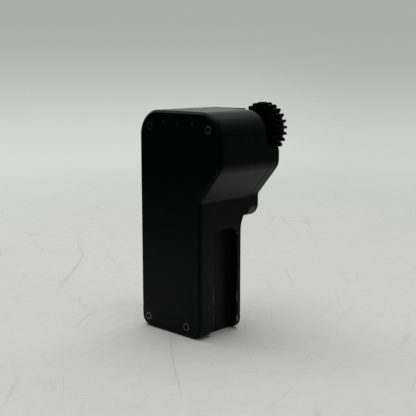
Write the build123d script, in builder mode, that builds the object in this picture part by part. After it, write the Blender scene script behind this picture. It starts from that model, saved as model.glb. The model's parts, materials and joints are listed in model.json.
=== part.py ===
from build123d import *
from dataclasses import dataclass, replace
from math import acos, cos, pi, radians, sin, sqrt, tan
import os

# Servo follow focus: a motor that turns the focus ring of a lens through its drive gear.
# It stands on the foot of its grip. +X is to the right as the front cover is seen,
# +Y points from the front cover to the drive gear, and +Z is up.
# The origin is under the middle of the whole, drive gear included.
# Places are given as (across, up): across from the body's left side, up from its foot.
# Depths are counted backwards from the front cover's face.


@dataclass(frozen=True)
class Screw:
    """Sizes of a socket-head screw."""

    thread: float
    head: float
    head_height: float
    socket: float
    socket_depth: float
    length: float


@dataclass(frozen=True)
class ToothForm:
    """Sizes of a gear tooth. The two shares are of the module."""

    module: float
    pressure_angle: float
    addendum_share: float
    dedendum_share: float
    backlash: float


# Body
body_height = 88.0
head_width = 43.9
grip_width = 33.3
grip_depth = 23.5
seam_depth = 29.0
top_corner_radius = 10.0
foot_corner_radius = 4.5
head_side_height = 21.4
slant_angle = 49.5
slant_top_radius = 6.0
slant_foot_radius = 3.0
overhang_radius = 10.5
head_floor_thickness = 3.5
wall = 2.0
rear_wall = 2.4

# Front cover
front_cover_thickness = 2.2
face_chamfer = 0.95
top_screw_inset = 6.0
top_screw_drop = 6.4
foot_screw_inset = 4.2
foot_screw_to_slot = 3.0
boss_radius = 3.2
short_boss_length = 6.4

# Rear cover
rear_cover_thickness = 5.2
rear_cover_wall = 1.6
rear_cover_reach = 9.2
rear_cover_foot_radius = 5.2
rear_cover_screw_inset = 5.2
rear_edge_chamfer = 0.4
seam_chamfer = 0.35

# Mounting slot in the grip's right side
slot_front_depth = 8.0
slot_width = 13.5
slot_above_overhang = 1.9
slot_depth = 4.3
slot_lip = 2.5
slot_undercut = 0.9
slot_corner_radius = 4.0
slot_floor_wall = 1.6

# Drive gear and the recess round it
drive_teeth = 24
drive_module = 0.8
drive_pressure_angle = 20.0
drive_addendum_share = 1.0
drive_dedendum_share = 1.25
drive_backlash = 0.1
drive_turn = 4.2
gear_side_inset = 9.8
gear_top_inset = 7.7
gear_face_width = 5.0
gear_lift = 7.0
gear_hub_radius = 4.6
gear_dish_radius = 7.2
gear_dish_depth = 2.0
gear_recess_gap = 0.6
gear_recess_depth = 2.8
gear_recess_wall = 1.4
housing_relief_drop = 5.9
cover_relief_drop = 8.6
gear_hub_gap = 0.4
tooth_end_chamfer = 0.35

# Output shaft, its bearings and its end screw
shaft_radius = 2.0
shaft_flat = 0.5
shaft_end_gap = 0.2
bearing_radius = 4.0
bearing_width = 2.0
bearing_groove = 0.2
bearing_race = 0.6
bearing_boss_radius = 6.4
bearing_shoulder = 1.6
bearing_shoulder_radius = 2.6
washer_radius = 3.4
washer_thickness = 0.4

# Gear train inside
train_module_small = 0.4
train_module_large = 0.5
train_pressure_angle = 25.0
train_addendum_share = 0.8
train_dedendum_share = 1.0
train_backlash = 0.06
output_teeth = 20
second_pinion_teeth = 12
second_wheel_teeth = 40
first_pinion_teeth = 12
first_wheel_teeth = 40
motor_pinion_teeth = 10
output_to_second_direction = 240.0
second_to_first_direction = 200.0
first_to_motor_direction = 218.0
first_layer_width = 2.0
second_layer_width = 2.2
third_layer_width = 2.6
layer_gap = 0.4
train_hub_radius = 1.6
train_end_gap = 0.1
axle_radius = 0.75

# Gearbox plates
front_plate_thickness = 1.8
rear_plate_thickness = 2.0
plate_rim = 3.0
spacer_radius = 2.2
spacer_clearance = 1.0
gearbox_boss_radius = 2.4
gearbox_boss_clearance = 2.4
first_spacer_direction = 88.0
second_spacer_direction = 264.0
third_spacer_direction = 82.0

# Motor
motor_radius = 10.0
motor_cover_wall = 1.9
motor_bore_gap = 0.3
motor_floor_gap = 0.3
motor_can_wall = 0.8
motor_face_thickness = 1.2
motor_cap_thickness = 1.2
motor_spigot_radius = 3.0
motor_spigot_length = 1.0
motor_screw_circle = 6.0
motor_screw_directions = (128.0, 308.0)
motor_shaft_radius = 0.75
motor_shaft_stub = 0.3
stator_inner_radius = 6.0
rotor_air_gap = 0.4
rotor_end_gap = 1.4
magnet_radius = 2.0
magnet_thickness = 1.2

# Control board and what is on it
board_front_gap = 1.2
board_thickness = 1.0
board_edge_gap = 0.5
board_plate_gap = 0.3
board_boss_radius = 2.0
board_boss_bite = 0.5
board_foot_screw_height = 12.0
board_top_screw_drop = 15.4
light_pipe_radius = 0.6
light_pipe_spacing = 7.8
light_pipe_drop = 4.4
led_width = 1.6
led_length = 1.2
led_height = 0.7
encoder_chip_width = 4.0
chip_height = 0.9
processor_width = 7.0
processor_gap = 4.5
driver_chip_width = 5.0
driver_chip_gap = 1.4
driver_row_gap = 0.5
socket_width = 7.4
socket_height = 2.6
socket_length = 5.4
socket_corner_radius = 0.8
socket_shell = 0.3
socket_mouth_gap = 0.3
socket_wall_gap = 0.3
tongue_width = 4.6
tongue_thickness = 0.6
tongue_setback = 0.8
connector_width = 5.0
connector_height = 3.0
connector_length = 2.6

# Motor leads
lead_count = 3
lead_radius = 0.4
lead_spacing = 1.3
lead_wall_gap = 1.1
lead_drop = 4.4
lead_bend_radius = 2.4
lead_seat_gap = 0.05

# Clearances
cut_overrun = 1.0
press_gap = 0.01
running_gap = 0.04
thread_gap = 0.05
head_gap = 0.15

# Screws: small ones with a tall or a low head, and a larger one for the drive gear
small_thread = 1.6
small_head = 3.0
tall_head_height = 1.6
tall_head_socket = 1.5
tall_head_socket_depth = 0.8
low_head_height = 0.9
low_head_socket = 1.3
low_head_socket_depth = 0.5
body_screw_length = 6.0
cover_screw_length = 5.0
board_screw_length = 4.0
motor_screw_length = 2.8
gearbox_screw_bite = 4.1
gearbox_screw_tip_gap = 1.0
gear_screw_thread = 2.0
gear_screw_head = 3.6
gear_screw_head_height = 1.3
gear_screw_socket = 1.5
gear_screw_socket_depth = 0.7
gear_screw_length = 6.0


def pitch_radius(teeth, form):
    """Pitch radius of a gear."""
    return form.module * teeth / 2


def tip_radius(teeth, form):
    """Radius over the tips of a gear's teeth."""
    return pitch_radius(teeth, form) + form.module * form.addendum_share


def polar(radius, angle):
    """Point at a radius and an angle in radians."""
    return (radius * cos(angle), radius * sin(angle))


def step_from(place, distance, direction):
    """Place at a distance from another, in a direction in degrees as seen from the front."""
    across, up = polar(distance, radians(direction))
    return (place[0] + across, place[1] + up)


def meshing_turn(turn, teeth, direction, mating_teeth):
    """Turn of the gear that lies in a direction from a gear with this turn and is in mesh with it."""
    return direction + 180 + 180 / mating_teeth - (turn - direction) * teeth / mating_teeth


# Tooth forms: the drive gear's, and the stubbier ones of the gear train
drive_form = ToothForm(
    drive_module, drive_pressure_angle, drive_addendum_share, drive_dedendum_share, drive_backlash
)
small_form = ToothForm(
    train_module_small,
    train_pressure_angle,
    train_addendum_share,
    train_dedendum_share,
    train_backlash,
)
large_form = ToothForm(
    train_module_large,
    train_pressure_angle,
    train_addendum_share,
    train_dedendum_share,
    train_backlash,
)

# Gear axes, from the drive gear down to the motor
output_axis = (head_width - gear_side_inset, body_height - gear_top_inset)
output_to_second = train_module_large * (output_teeth + second_pinion_teeth) / 2
second_axis = step_from(output_axis, output_to_second, output_to_second_direction)
second_to_first = train_module_small * (second_wheel_teeth + first_pinion_teeth) / 2
first_axis = step_from(second_axis, second_to_first, second_to_first_direction)
first_to_motor = train_module_small * (first_wheel_teeth + motor_pinion_teeth) / 2
motor_axis = step_from(first_axis, first_to_motor, first_to_motor_direction)

# Turns that put every pair of gears in mesh
output_turn = 0.0
second_pinion_turn = meshing_turn(
    output_turn, output_teeth, output_to_second_direction, second_pinion_teeth
)
second_wheel_turn = second_pinion_turn
first_pinion_turn = meshing_turn(
    second_wheel_turn, second_wheel_teeth, second_to_first_direction, first_pinion_teeth
)
first_wheel_turn = first_pinion_turn
motor_pinion_turn = meshing_turn(
    first_wheel_turn, first_wheel_teeth, first_to_motor_direction, motor_pinion_teeth
)

# Depths of the layers, from the control board back to the motor
board_front_depth = front_cover_thickness + board_front_gap
board_rear_depth = board_front_depth + board_thickness
front_plate_front = board_rear_depth + board_plate_gap
front_plate_rear = front_plate_front + front_plate_thickness
first_layer_front = front_plate_rear + layer_gap
first_layer_rear = first_layer_front + first_layer_width
second_layer_front = first_layer_rear + layer_gap
second_layer_rear = second_layer_front + second_layer_width
third_layer_front = second_layer_rear + layer_gap
third_layer_rear = third_layer_front + third_layer_width
rear_plate_front = third_layer_rear + layer_gap
rear_plate_rear = rear_plate_front + rear_plate_thickness
rear_cover_depth = seam_depth + rear_cover_thickness
motor_rear_depth = rear_cover_depth - motor_cover_wall - motor_bore_gap
recess_floor_depth = seam_depth - gear_recess_depth
gear_front_depth = recess_floor_depth + gear_lift
gear_rear_depth = gear_front_depth + gear_face_width
gear_dish_floor = gear_rear_depth - gear_dish_depth
gear_hub_front = recess_floor_depth + gear_hub_gap
shaft_rear_depth = gear_dish_floor - shaft_end_gap
cavity_rear_depth = seam_depth - rear_wall

# Radii and heights that follow from the sizes above
gear_tip_radius = tip_radius(drive_teeth, drive_form)
gear_recess_radius = gear_tip_radius + gear_recess_gap
recess_side_drop = sqrt(max(0, gear_recess_radius**2 - gear_side_inset**2))
motor_bore_radius = motor_radius + motor_bore_gap
head_floor_height = motor_axis[1] - motor_bore_radius - motor_floor_gap
overhang_run = overhang_radius - (seam_depth - grip_depth)
overhang_seam_height = head_floor_height - head_floor_thickness
overhang_start_height = overhang_seam_height - sqrt(overhang_radius**2 - overhang_run**2)
slant_rise = (head_width - grip_width) * tan(radians(slant_angle))
slant_foot_height = body_height - head_side_height - slant_rise
rear_cover_foot = slant_foot_height - rear_cover_reach
slot_height = overhang_start_height + slot_above_overhang
slot_floor_across = grip_width - slot_depth
grip_cavity_across = slot_floor_across - slot_floor_wall
slot_block_height = slot_height + slot_floor_wall
overall_width = max(head_width, output_axis[0] + gear_tip_radius)
overall_depth = max(gear_rear_depth, rear_cover_depth)
left_side = -overall_width / 2
front_face = -overall_depth / 2

# Screws
body_screw = Screw(
    small_thread,
    small_head,
    tall_head_height,
    tall_head_socket,
    tall_head_socket_depth,
    body_screw_length,
)
cover_screw = replace(body_screw, length=cover_screw_length)
board_screw = Screw(
    small_thread,
    small_head,
    low_head_height,
    low_head_socket,
    low_head_socket_depth,
    board_screw_length,
)
motor_screw = replace(board_screw, length=motor_screw_length)
gearbox_height = rear_plate_rear - front_plate_front
gearbox_screw = replace(board_screw, length=gearbox_height - low_head_height + gearbox_screw_bite)
gear_screw = Screw(
    gear_screw_thread,
    gear_screw_head,
    gear_screw_head_height,
    gear_screw_socket,
    gear_screw_socket_depth,
    gear_screw_length,
)

# Places of the fasteners
front_screw_places = [
    (top_screw_inset, body_height - top_screw_drop),
    (head_width - top_screw_inset, body_height - top_screw_drop),
    (foot_screw_inset, foot_screw_inset),
    (slot_floor_across - foot_screw_to_slot, foot_screw_inset),
]
rear_screw_height = (overhang_seam_height + head_floor_height) / 2
rear_screw_reach = gear_recess_radius + wall + cover_screw.head / 2
rear_screw_direction = 286.5
rear_screw_places = [
    (top_screw_inset, body_height - top_screw_drop),
    (rear_cover_screw_inset, rear_screw_height),
    (grip_width - rear_cover_screw_inset, rear_screw_height),
    step_from(output_axis, rear_screw_reach, rear_screw_direction),
]
wheel_spacing = tip_radius(first_wheel_teeth, small_form) + spacer_radius + spacer_clearance
gearbox_screw_places = [
    step_from(
        motor_axis,
        motor_bore_radius + gearbox_boss_radius + gearbox_boss_clearance,
        first_spacer_direction,
    ),
    step_from(second_axis, wheel_spacing, second_spacer_direction),
    step_from(first_axis, wheel_spacing, third_spacer_direction),
]
board_boss_reach = board_boss_radius - board_boss_bite
board_screw_places = [
    (wall + board_boss_reach, board_foot_screw_height),
    (grip_cavity_across - board_boss_reach, board_foot_screw_height),
    (wall + board_boss_reach, body_height - board_top_screw_drop),
]
# Places on the control board, from the motor's connector down to the processor and the socket
connector_place = (motor_axis[0], motor_axis[1] - motor_radius - lead_drop)
driver_row_height = connector_place[1] - connector_height / 2 - driver_row_gap - driver_chip_width / 2
processor_height = driver_row_height - driver_chip_width / 2 - processor_gap - processor_width / 2
socket_place = (board_rear_depth + socket_height / 2, (board_foot_screw_height + driver_row_height) / 2)
board_middle = (wall + grip_cavity_across) / 2
light_pipe_places = [
    (head_width / 2 + step * light_pipe_spacing, body_height - light_pipe_drop) for step in (-1, 0, 1)
]


def at_depth(depth, across=0, up=0):
    """Sketch plane that faces the front, with its origin at (across, up); extruding goes forwards."""
    origin = (left_side + across, front_face + depth, up)
    return Plane(origin=origin, x_dir=Plane.XZ.x_dir, z_dir=Plane.XZ.z_dir)


def facing_back(depth, across=0, up=0):
    """Plane that faces the back, for holes that are drilled from the rear."""
    origin = (left_side + across, front_face + depth, up)
    return Plane(origin=origin, x_dir=-Plane.XZ.x_dir, z_dir=-Plane.XZ.z_dir)


def facing_right(across, depth=0, up=0):
    """Sketch plane that faces the right, with its origin at (depth, up); extruding goes right."""
    origin = (left_side + across, front_face + depth, up)
    return Plane(origin=origin, x_dir=Plane.YZ.x_dir, z_dir=Plane.YZ.z_dir)


def body_outline(foot_height, foot_radius):
    """Front view of the body from a foot height up: narrow grip, slanted shoulder, wide head."""
    corners = [
        ((0, foot_height), foot_radius),
        ((grip_width, foot_height), foot_radius),
        ((grip_width, slant_foot_height), slant_foot_radius),
        ((head_width, slant_foot_height + slant_rise), slant_top_radius),
        ((head_width, body_height), top_corner_radius),
        ((0, body_height), top_corner_radius),
    ]
    points = [point for point, _ in corners]
    with BuildLine() as outline:
        FilletPolyline(points, radius=[size for _, size in corners], close=True)
    make_face(outline.edges())


def gear_outline(teeth, form, turn):
    """Involute gear round the sketch's origin, with the middle of a tooth at the turn in degrees."""
    pitch = pitch_radius(teeth, form)
    base = pitch * cos(radians(form.pressure_angle))
    tip = tip_radius(teeth, form)
    root = pitch - form.module * form.dedendum_share
    flank_start = max(root, base)
    flank_middle = (flank_start + tip) / 2
    pressure = radians(form.pressure_angle)
    half_tooth = pi / (2 * teeth) - form.backlash / (4 * pitch) + tan(pressure) - pressure

    def half_angle(radius):
        roll = acos(min(base / radius, 1))
        return half_tooth - tan(roll) + roll

    with BuildLine() as outline:
        for tooth in range(teeth):
            middle = radians(turn) + 2 * pi * tooth / teeth
            next_root = polar(root, middle + 2 * pi / teeth - half_angle(flank_start))
            for side in (-1, 1):
                start = polar(flank_start, middle + side * half_angle(flank_start))
                halfway = polar(flank_middle, middle + side * half_angle(flank_middle))
                end = polar(tip, middle + side * half_angle(tip))
                ThreePointArc(start, halfway, end)
                if root < base:
                    Line(start, polar(root, middle + side * half_angle(flank_start)))
            Line(polar(tip, middle - half_angle(tip)), polar(tip, middle + half_angle(tip)))
            Line(polar(root, middle + half_angle(flank_start)), next_root)
    make_face(outline.edges())


def disc(axis, front, rear, radius, hole_radius=0):
    """Round piece of the current part between two depths, with a hole if one is given."""
    with BuildSketch(at_depth(rear, *axis)) as profile:
        Circle(radius)
        if hole_radius:
            Circle(hole_radius, mode=Mode.SUBTRACT)
    extrude(profile.sketch, amount=rear - front)


def bore(axis, front, rear, radius):
    """Round hole in the current part between two depths."""
    with BuildSketch(at_depth(rear, *axis)) as profile:
        Circle(radius)
    extrude(profile.sketch, amount=rear - front, mode=Mode.SUBTRACT)


def gear(axis, front, rear, teeth, form, turn):
    """Toothed piece of the current part between two depths."""
    with BuildSketch(at_depth(rear, *axis)) as profile:
        gear_outline(teeth, form, turn)
    extrude(profile.sketch, amount=rear - front)


def screws(places, head_face, screw, from_rear=False):
    """Socket-head screws with the outer face of their heads at a depth, driven from one side."""
    inwards = 1 if from_rear else -1
    under_head = head_face - inwards * screw.head_height
    with BuildPart() as fasteners:
        with BuildSketch(at_depth(head_face)):
            with Locations(places):
                Circle(screw.head / 2)
        extrude(amount=inwards * screw.head_height)
        with BuildSketch(at_depth(under_head)):
            with Locations(places):
                Circle(screw.thread / 2)
        extrude(amount=inwards * screw.length)
        with BuildSketch(at_depth(head_face)):
            with Locations(places):
                RegularPolygon(screw.socket / 2, 6, major_radius=False)
        extrude(amount=inwards * screw.socket_depth, mode=Mode.SUBTRACT)
    return fasteners


def screw_hole_radius(screw):
    """Radius of the hole that a screw's thread goes through."""
    return screw.thread / 2 + thread_gap


def head_hole_radius(screw):
    """Radius of the counterbore that holds a screw's head."""
    return screw.head / 2 + head_gap


def relieve_below_gear():
    """Cuts off the thin edge where the recess round the drive gear meets the body's right side."""
    with BuildSketch(facing_right(output_axis[0])) as profile:
        with BuildLine() as outline:
            Polyline(
                (recess_floor_depth, output_axis[1]),
                (recess_floor_depth, output_axis[1] - recess_side_drop),
                (seam_depth, output_axis[1] - housing_relief_drop),
                (seam_depth, output_axis[1] - cover_relief_drop),
                (rear_cover_depth + cut_overrun, output_axis[1] - cover_relief_drop),
                (rear_cover_depth + cut_overrun, output_axis[1]),
                close=True,
            )
        make_face(outline.edges())
    extrude(profile.sketch, amount=gear_side_inset + cut_overrun, mode=Mode.SUBTRACT)


# Main housing: one milled block with the grip, the head and its overhang
with BuildPart() as main_housing:
    with BuildSketch(at_depth(seam_depth)):
        body_outline(0, foot_corner_radius)
    extrude(amount=seam_depth - front_cover_thickness)

    # The grip's back, blended into the head's overhang by a large concave round
    overhang_rear = grip_depth + overhang_radius
    with BuildSketch(facing_right(-cut_overrun)):
        with BuildLine():
            rise = JernArc((grip_depth, overhang_start_height), Plane.XY.y_dir, overhang_radius, -90)
            Polyline(
                rise @ 1,
                (overhang_rear, -cut_overrun),
                (grip_depth, -cut_overrun),
                (grip_depth, overhang_start_height),
            )
        make_face()
    extrude(amount=head_width + 2 * cut_overrun, mode=Mode.SUBTRACT)

    # Cavity behind the front cover, shallower in the grip than in the head
    with BuildSketch(at_depth(grip_depth - wall)):
        body_outline(0, foot_corner_radius)
        offset(amount=-wall, mode=Mode.REPLACE)
        with Locations((grip_cavity_across, 0)):
            Rectangle(grip_width, slot_block_height, align=Align.MIN, mode=Mode.SUBTRACT)
    extrude(amount=grip_depth - wall - front_cover_thickness, mode=Mode.SUBTRACT)
    with BuildSketch(at_depth(cavity_rear_depth)):
        body_outline(0, foot_corner_radius)
        offset(amount=-wall, mode=Mode.REPLACE)
        with Locations((0, 0)):
            Rectangle(head_width, head_floor_height, align=Align.MIN, mode=Mode.SUBTRACT)
    extrude(amount=cavity_rear_depth - grip_depth + wall, mode=Mode.SUBTRACT)

    # Bosses for the front cover's screws; the one before the output shaft is short
    for place in (front_screw_places[0], *front_screw_places[2:]):
        disc(place, front_cover_thickness, grip_depth - wall, boss_radius)
    disc(front_screw_places[0], grip_depth - wall, cavity_rear_depth, boss_radius)
    disc(
        front_screw_places[1],
        front_cover_thickness,
        front_cover_thickness + short_boss_length,
        boss_radius,
    )

    # Wall in front of the recess round the drive gear, which is deeper than the head's rear wall
    with BuildSketch(at_depth(cavity_rear_depth)):
        body_outline(0, foot_corner_radius)
        offset(amount=-wall, mode=Mode.REPLACE)
        with Locations(output_axis):
            Circle(gear_recess_radius + gear_recess_wall, mode=Mode.INTERSECT)
    extrude(amount=cavity_rear_depth - recess_floor_depth + gear_recess_wall)

    # Bosses for the gearbox, the control board and the rear bearing of the output shaft
    for place in gearbox_screw_places:
        disc(place, rear_plate_rear, cavity_rear_depth, gearbox_boss_radius)
    for place in board_screw_places:
        disc(place, board_rear_depth, grip_depth - wall, board_boss_radius)
    disc(board_screw_places[-1], grip_depth - wall, cavity_rear_depth, board_boss_radius)
    bearing_rear_depth = recess_floor_depth - bearing_shoulder
    bearing_boss_front = bearing_rear_depth - bearing_width - layer_gap
    disc(output_axis, bearing_boss_front, cavity_rear_depth, bearing_boss_radius)

    # Holes for the screws
    with Locations([at_depth(front_cover_thickness, *place) for place in front_screw_places]):
        Hole(screw_hole_radius(body_screw), depth=body_screw.length)
    with Locations([at_depth(rear_plate_rear, *place) for place in gearbox_screw_places]):
        Hole(screw_hole_radius(gearbox_screw), depth=gearbox_screw_bite + gearbox_screw_tip_gap)
    with Locations([at_depth(board_rear_depth, *place) for place in board_screw_places]):
        Hole(screw_hole_radius(board_screw), depth=board_screw.length)
    with Locations([facing_back(seam_depth, *place) for place in rear_screw_places]):
        Hole(screw_hole_radius(cover_screw), depth=rear_wall)

    # Rear opening for the motor, seat of the rear bearing and recess round the drive gear
    bore(motor_axis, cavity_rear_depth - cut_overrun, seam_depth + cut_overrun, motor_bore_radius)
    bore(output_axis, bearing_boss_front - cut_overrun, bearing_rear_depth, bearing_radius + press_gap)
    bore(output_axis, bearing_rear_depth, recess_floor_depth, bearing_shoulder_radius)
    bore(output_axis, recess_floor_depth, seam_depth + cut_overrun, gear_recess_radius)
    relieve_below_gear()

    # Mounting slot: a wide mouth with lips over a wider floor, open at the foot
    slot_middle = slot_front_depth + slot_width / 2
    for reach, floor_across, mouth_across in (
        (0, slot_floor_across, grip_width + cut_overrun),
        (slot_undercut, slot_floor_across, grip_width - slot_lip),
    ):
        with BuildSketch(facing_right(floor_across, slot_middle)):
            with BuildLine():
                half_width = slot_width / 2 + reach
                FilletPolyline(
                    (-half_width, -cut_overrun),
                    (-half_width, slot_height + reach),
                    (half_width, slot_height + reach),
                    (half_width, -cut_overrun),
                    radius=[slot_corner_radius + reach] * 2,
                )
                Line((-half_width, -cut_overrun), (half_width, -cut_overrun))
            make_face()
        extrude(amount=mouth_across - floor_across, mode=Mode.SUBTRACT)

    # Opening for the control socket in the left side
    with BuildSketch(facing_right(-cut_overrun, *socket_place)):
        RectangleRounded(
            socket_height + 2 * socket_wall_gap,
            socket_width + 2 * socket_wall_gap,
            socket_corner_radius + socket_wall_gap,
        )
    extrude(amount=wall + 2 * cut_overrun, mode=Mode.SUBTRACT)

# Front cover: flat plate with a chamfered face
with BuildPart() as front_cover:
    with BuildSketch(at_depth(front_cover_thickness)):
        body_outline(0, foot_corner_radius)
    extrude(amount=front_cover_thickness)
    chamfer(front_cover.faces().sort_by(Axis.Y)[0].outer_wire().edges(), length=face_chamfer)
    with Locations([at_depth(0, *place) for place in front_screw_places]):
        CounterBoreHole(
            screw_hole_radius(body_screw), head_hole_radius(body_screw), body_screw.head_height
        )
    with Locations([at_depth(0, *place) for place in light_pipe_places]):
        Hole(light_pipe_radius)

front_cover_screws = screws(front_screw_places, 0, body_screw)

with BuildPart() as indicator_light_pipes:
    for place in light_pipe_places:
        disc(place, 0, front_cover_thickness, light_pipe_radius - press_gap)

# Rear cover: a shallow box over the back of the head, cut away round the drive gear
with BuildPart() as rear_cover:
    with BuildSketch(at_depth(rear_cover_depth)):
        body_outline(rear_cover_foot, rear_cover_foot_radius)
    extrude(amount=rear_cover_thickness)
    chamfer(rear_cover.faces().sort_by(Axis.Y)[-1].outer_wire().edges(), length=rear_edge_chamfer)
    chamfer(rear_cover.faces().sort_by(Axis.Y)[0].outer_wire().edges(), length=seam_chamfer)
    with BuildSketch(at_depth(rear_cover_depth - rear_cover_wall)):
        body_outline(rear_cover_foot, rear_cover_foot_radius)
        offset(amount=-wall, mode=Mode.REPLACE)
        with Locations((0, 0)):
            Rectangle(head_width, rear_screw_height + boss_radius, align=Align.MIN, mode=Mode.SUBTRACT)
        with Locations(output_axis):
            Circle(gear_recess_radius + wall, mode=Mode.SUBTRACT)
        with Locations(rear_screw_places):
            Circle(boss_radius, mode=Mode.SUBTRACT)
    extrude(amount=rear_cover_thickness - rear_cover_wall, mode=Mode.SUBTRACT)
    bore(output_axis, seam_depth - cut_overrun, rear_cover_depth + cut_overrun, gear_recess_radius)
    relieve_below_gear()
    bore(motor_axis, seam_depth, motor_rear_depth + motor_bore_gap, motor_bore_radius)
    with Locations([facing_back(rear_cover_depth, *place) for place in rear_screw_places]):
        CounterBoreHole(
            screw_hole_radius(cover_screw), head_hole_radius(cover_screw), cover_screw.head_height
        )

rear_cover_screws = screws(rear_screw_places, rear_cover_depth, cover_screw, from_rear=True)

# Drive gear: a rim whose tooth tips are chamfered, with a hub in front and a dished back
with BuildPart() as drive_gear:
    gear(output_axis, gear_front_depth, gear_rear_depth, drive_teeth, drive_form, drive_turn)
    rim_plane = facing_right(output_axis[0], gear_front_depth, output_axis[1])
    with BuildSketch(rim_plane):
        with BuildLine():
            Polyline(
                (0, 0),
                (0, gear_tip_radius - tooth_end_chamfer),
                (tooth_end_chamfer, gear_tip_radius),
                (gear_face_width - tooth_end_chamfer, gear_tip_radius),
                (gear_face_width, gear_tip_radius - tooth_end_chamfer),
                (gear_face_width, 0),
                close=True,
            )
        make_face()
    revolve(axis=Axis(rim_plane.origin, rim_plane.x_dir), mode=Mode.INTERSECT)
    disc(output_axis, gear_hub_front, gear_front_depth, gear_hub_radius)
    bore(output_axis, gear_dish_floor, gear_rear_depth, gear_dish_radius)
    with BuildSketch(at_depth(gear_dish_floor, *output_axis)):
        Circle(shaft_radius + press_gap)
        with Locations((shaft_radius, 0)):
            Rectangle(2 * shaft_flat, 2 * shaft_radius, mode=Mode.SUBTRACT)
    extrude(amount=gear_dish_floor - gear_hub_front, mode=Mode.SUBTRACT)

# Output shaft with a flat for the drive gear and a threaded end
with BuildPart() as output_shaft:
    disc(output_axis, third_layer_front, gear_hub_front, shaft_radius)
    with BuildSketch(at_depth(shaft_rear_depth, *output_axis)):
        Circle(shaft_radius)
        with Locations((shaft_radius, 0)):
            Rectangle(2 * (shaft_flat + press_gap), 2 * shaft_radius, mode=Mode.SUBTRACT)
    extrude(amount=shaft_rear_depth - gear_hub_front)
    thread_depth = gear_dish_floor - gear_screw.length - thread_gap
    bore(output_axis, thread_depth, shaft_rear_depth, screw_hole_radius(gear_screw))

with BuildPart() as drive_gear_washer:
    disc(
        output_axis,
        gear_dish_floor,
        gear_dish_floor + washer_thickness,
        washer_radius,
        screw_hole_radius(gear_screw),
    )

gear_screw_face = gear_dish_floor + washer_thickness + gear_screw.head_height
drive_gear_screw = screws([output_axis], gear_screw_face, gear_screw, from_rear=True)

with BuildPart() as output_gear:
    gear(output_axis, third_layer_front, third_layer_rear, output_teeth, large_form, output_turn)
    bore(output_axis, third_layer_front, third_layer_rear, shaft_radius + press_gap)


def bearing(front):
    """Ball bearing with its two rings marked by a groove in each face, turned round the output axis."""
    middle_radius = (shaft_radius + bearing_radius) / 2
    groove_half = (bearing_radius - shaft_radius) / 2 - bearing_race
    axis_plane = facing_right(output_axis[0], front, output_axis[1])
    with BuildPart() as ring:
        with BuildSketch(axis_plane):
            with Locations((0, shaft_radius + running_gap)):
                ring_height = bearing_radius - shaft_radius - running_gap
                Rectangle(bearing_width, ring_height, align=Align.MIN)
            for face in (0, bearing_width):
                with Locations((face, middle_radius)):
                    Rectangle(2 * bearing_groove, 2 * groove_half, mode=Mode.SUBTRACT)
        revolve(axis=Axis(axis_plane.origin, axis_plane.x_dir))
    return ring


output_front_bearing = bearing(rear_plate_front)
output_rear_bearing = bearing(bearing_rear_depth - bearing_width)

# Reduction gears, each a wheel and a pinion in one piece, on fixed axles
train_front = front_plate_rear + train_end_gap
train_rear = rear_plate_front - train_end_gap

with BuildPart() as second_reduction_gear:
    disc(second_axis, train_front, train_rear, train_hub_radius)
    gear(
        second_axis,
        second_layer_front,
        second_layer_rear,
        second_wheel_teeth,
        small_form,
        second_wheel_turn,
    )
    gear(
        second_axis,
        second_layer_rear,
        third_layer_rear,
        second_pinion_teeth,
        large_form,
        second_pinion_turn,
    )
    bore(second_axis, train_front, train_rear, axle_radius + running_gap)

with BuildPart() as first_reduction_gear:
    disc(first_axis, train_front, train_rear, train_hub_radius)
    gear(
        first_axis,
        first_layer_front,
        first_layer_rear,
        first_wheel_teeth,
        small_form,
        first_wheel_turn,
    )
    gear(
        first_axis,
        first_layer_rear,
        second_layer_rear,
        first_pinion_teeth,
        small_form,
        first_pinion_turn,
    )
    bore(first_axis, train_front, train_rear, axle_radius + running_gap)

with BuildPart() as second_gear_axle:
    disc(second_axis, front_plate_front, rear_plate_rear, axle_radius)

with BuildPart() as first_gear_axle:
    disc(first_axis, front_plate_front, rear_plate_rear, axle_radius)

# Gearbox plates, drawn tight round the screws and axles that they carry
with BuildPart() as gearbox_front_plate:
    with BuildSketch(at_depth(front_plate_rear)):
        with Locations(gearbox_screw_places):
            Circle(plate_rim)
        with Locations(first_axis, second_axis):
            Circle(plate_rim)
        make_hull()
    extrude(amount=front_plate_thickness)
    for axis in (first_axis, second_axis):
        bore(axis, front_plate_front, front_plate_rear, axle_radius + press_gap)
    with Locations([at_depth(front_plate_front, *place) for place in gearbox_screw_places]):
        CounterBoreHole(
            screw_hole_radius(gearbox_screw),
            head_hole_radius(gearbox_screw),
            gearbox_screw.head_height,
        )

with BuildPart() as gearbox_rear_plate:
    with BuildSketch(at_depth(rear_plate_rear)):
        with Locations(gearbox_screw_places):
            Circle(plate_rim)
        with Locations(output_axis):
            Circle(bearing_radius + spacer_clearance)
        with Locations(motor_axis):
            Circle(motor_screw_circle + plate_rim)
        make_hull()
    extrude(amount=rear_plate_thickness)
    for axis in (first_axis, second_axis):
        bore(axis, rear_plate_front, rear_plate_rear, axle_radius + press_gap)
    bore(output_axis, rear_plate_front, rear_plate_rear, bearing_radius + press_gap)
    bore(motor_axis, rear_plate_front, rear_plate_rear, motor_spigot_radius + press_gap)
    motor_screw_places = [
        step_from(motor_axis, motor_screw_circle, direction) for direction in motor_screw_directions
    ]
    for place in (*gearbox_screw_places, *motor_screw_places):
        bore(place, rear_plate_front, rear_plate_rear, screw_hole_radius(gearbox_screw))

with BuildPart() as gearbox_spacers:
    for place in gearbox_screw_places:
        disc(place, front_plate_rear, rear_plate_front, spacer_radius, screw_hole_radius(gearbox_screw))

gearbox_screws = screws(gearbox_screw_places, front_plate_front, gearbox_screw)
motor_screws = screws(motor_screw_places, rear_plate_front - motor_screw.head_height, motor_screw)

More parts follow.
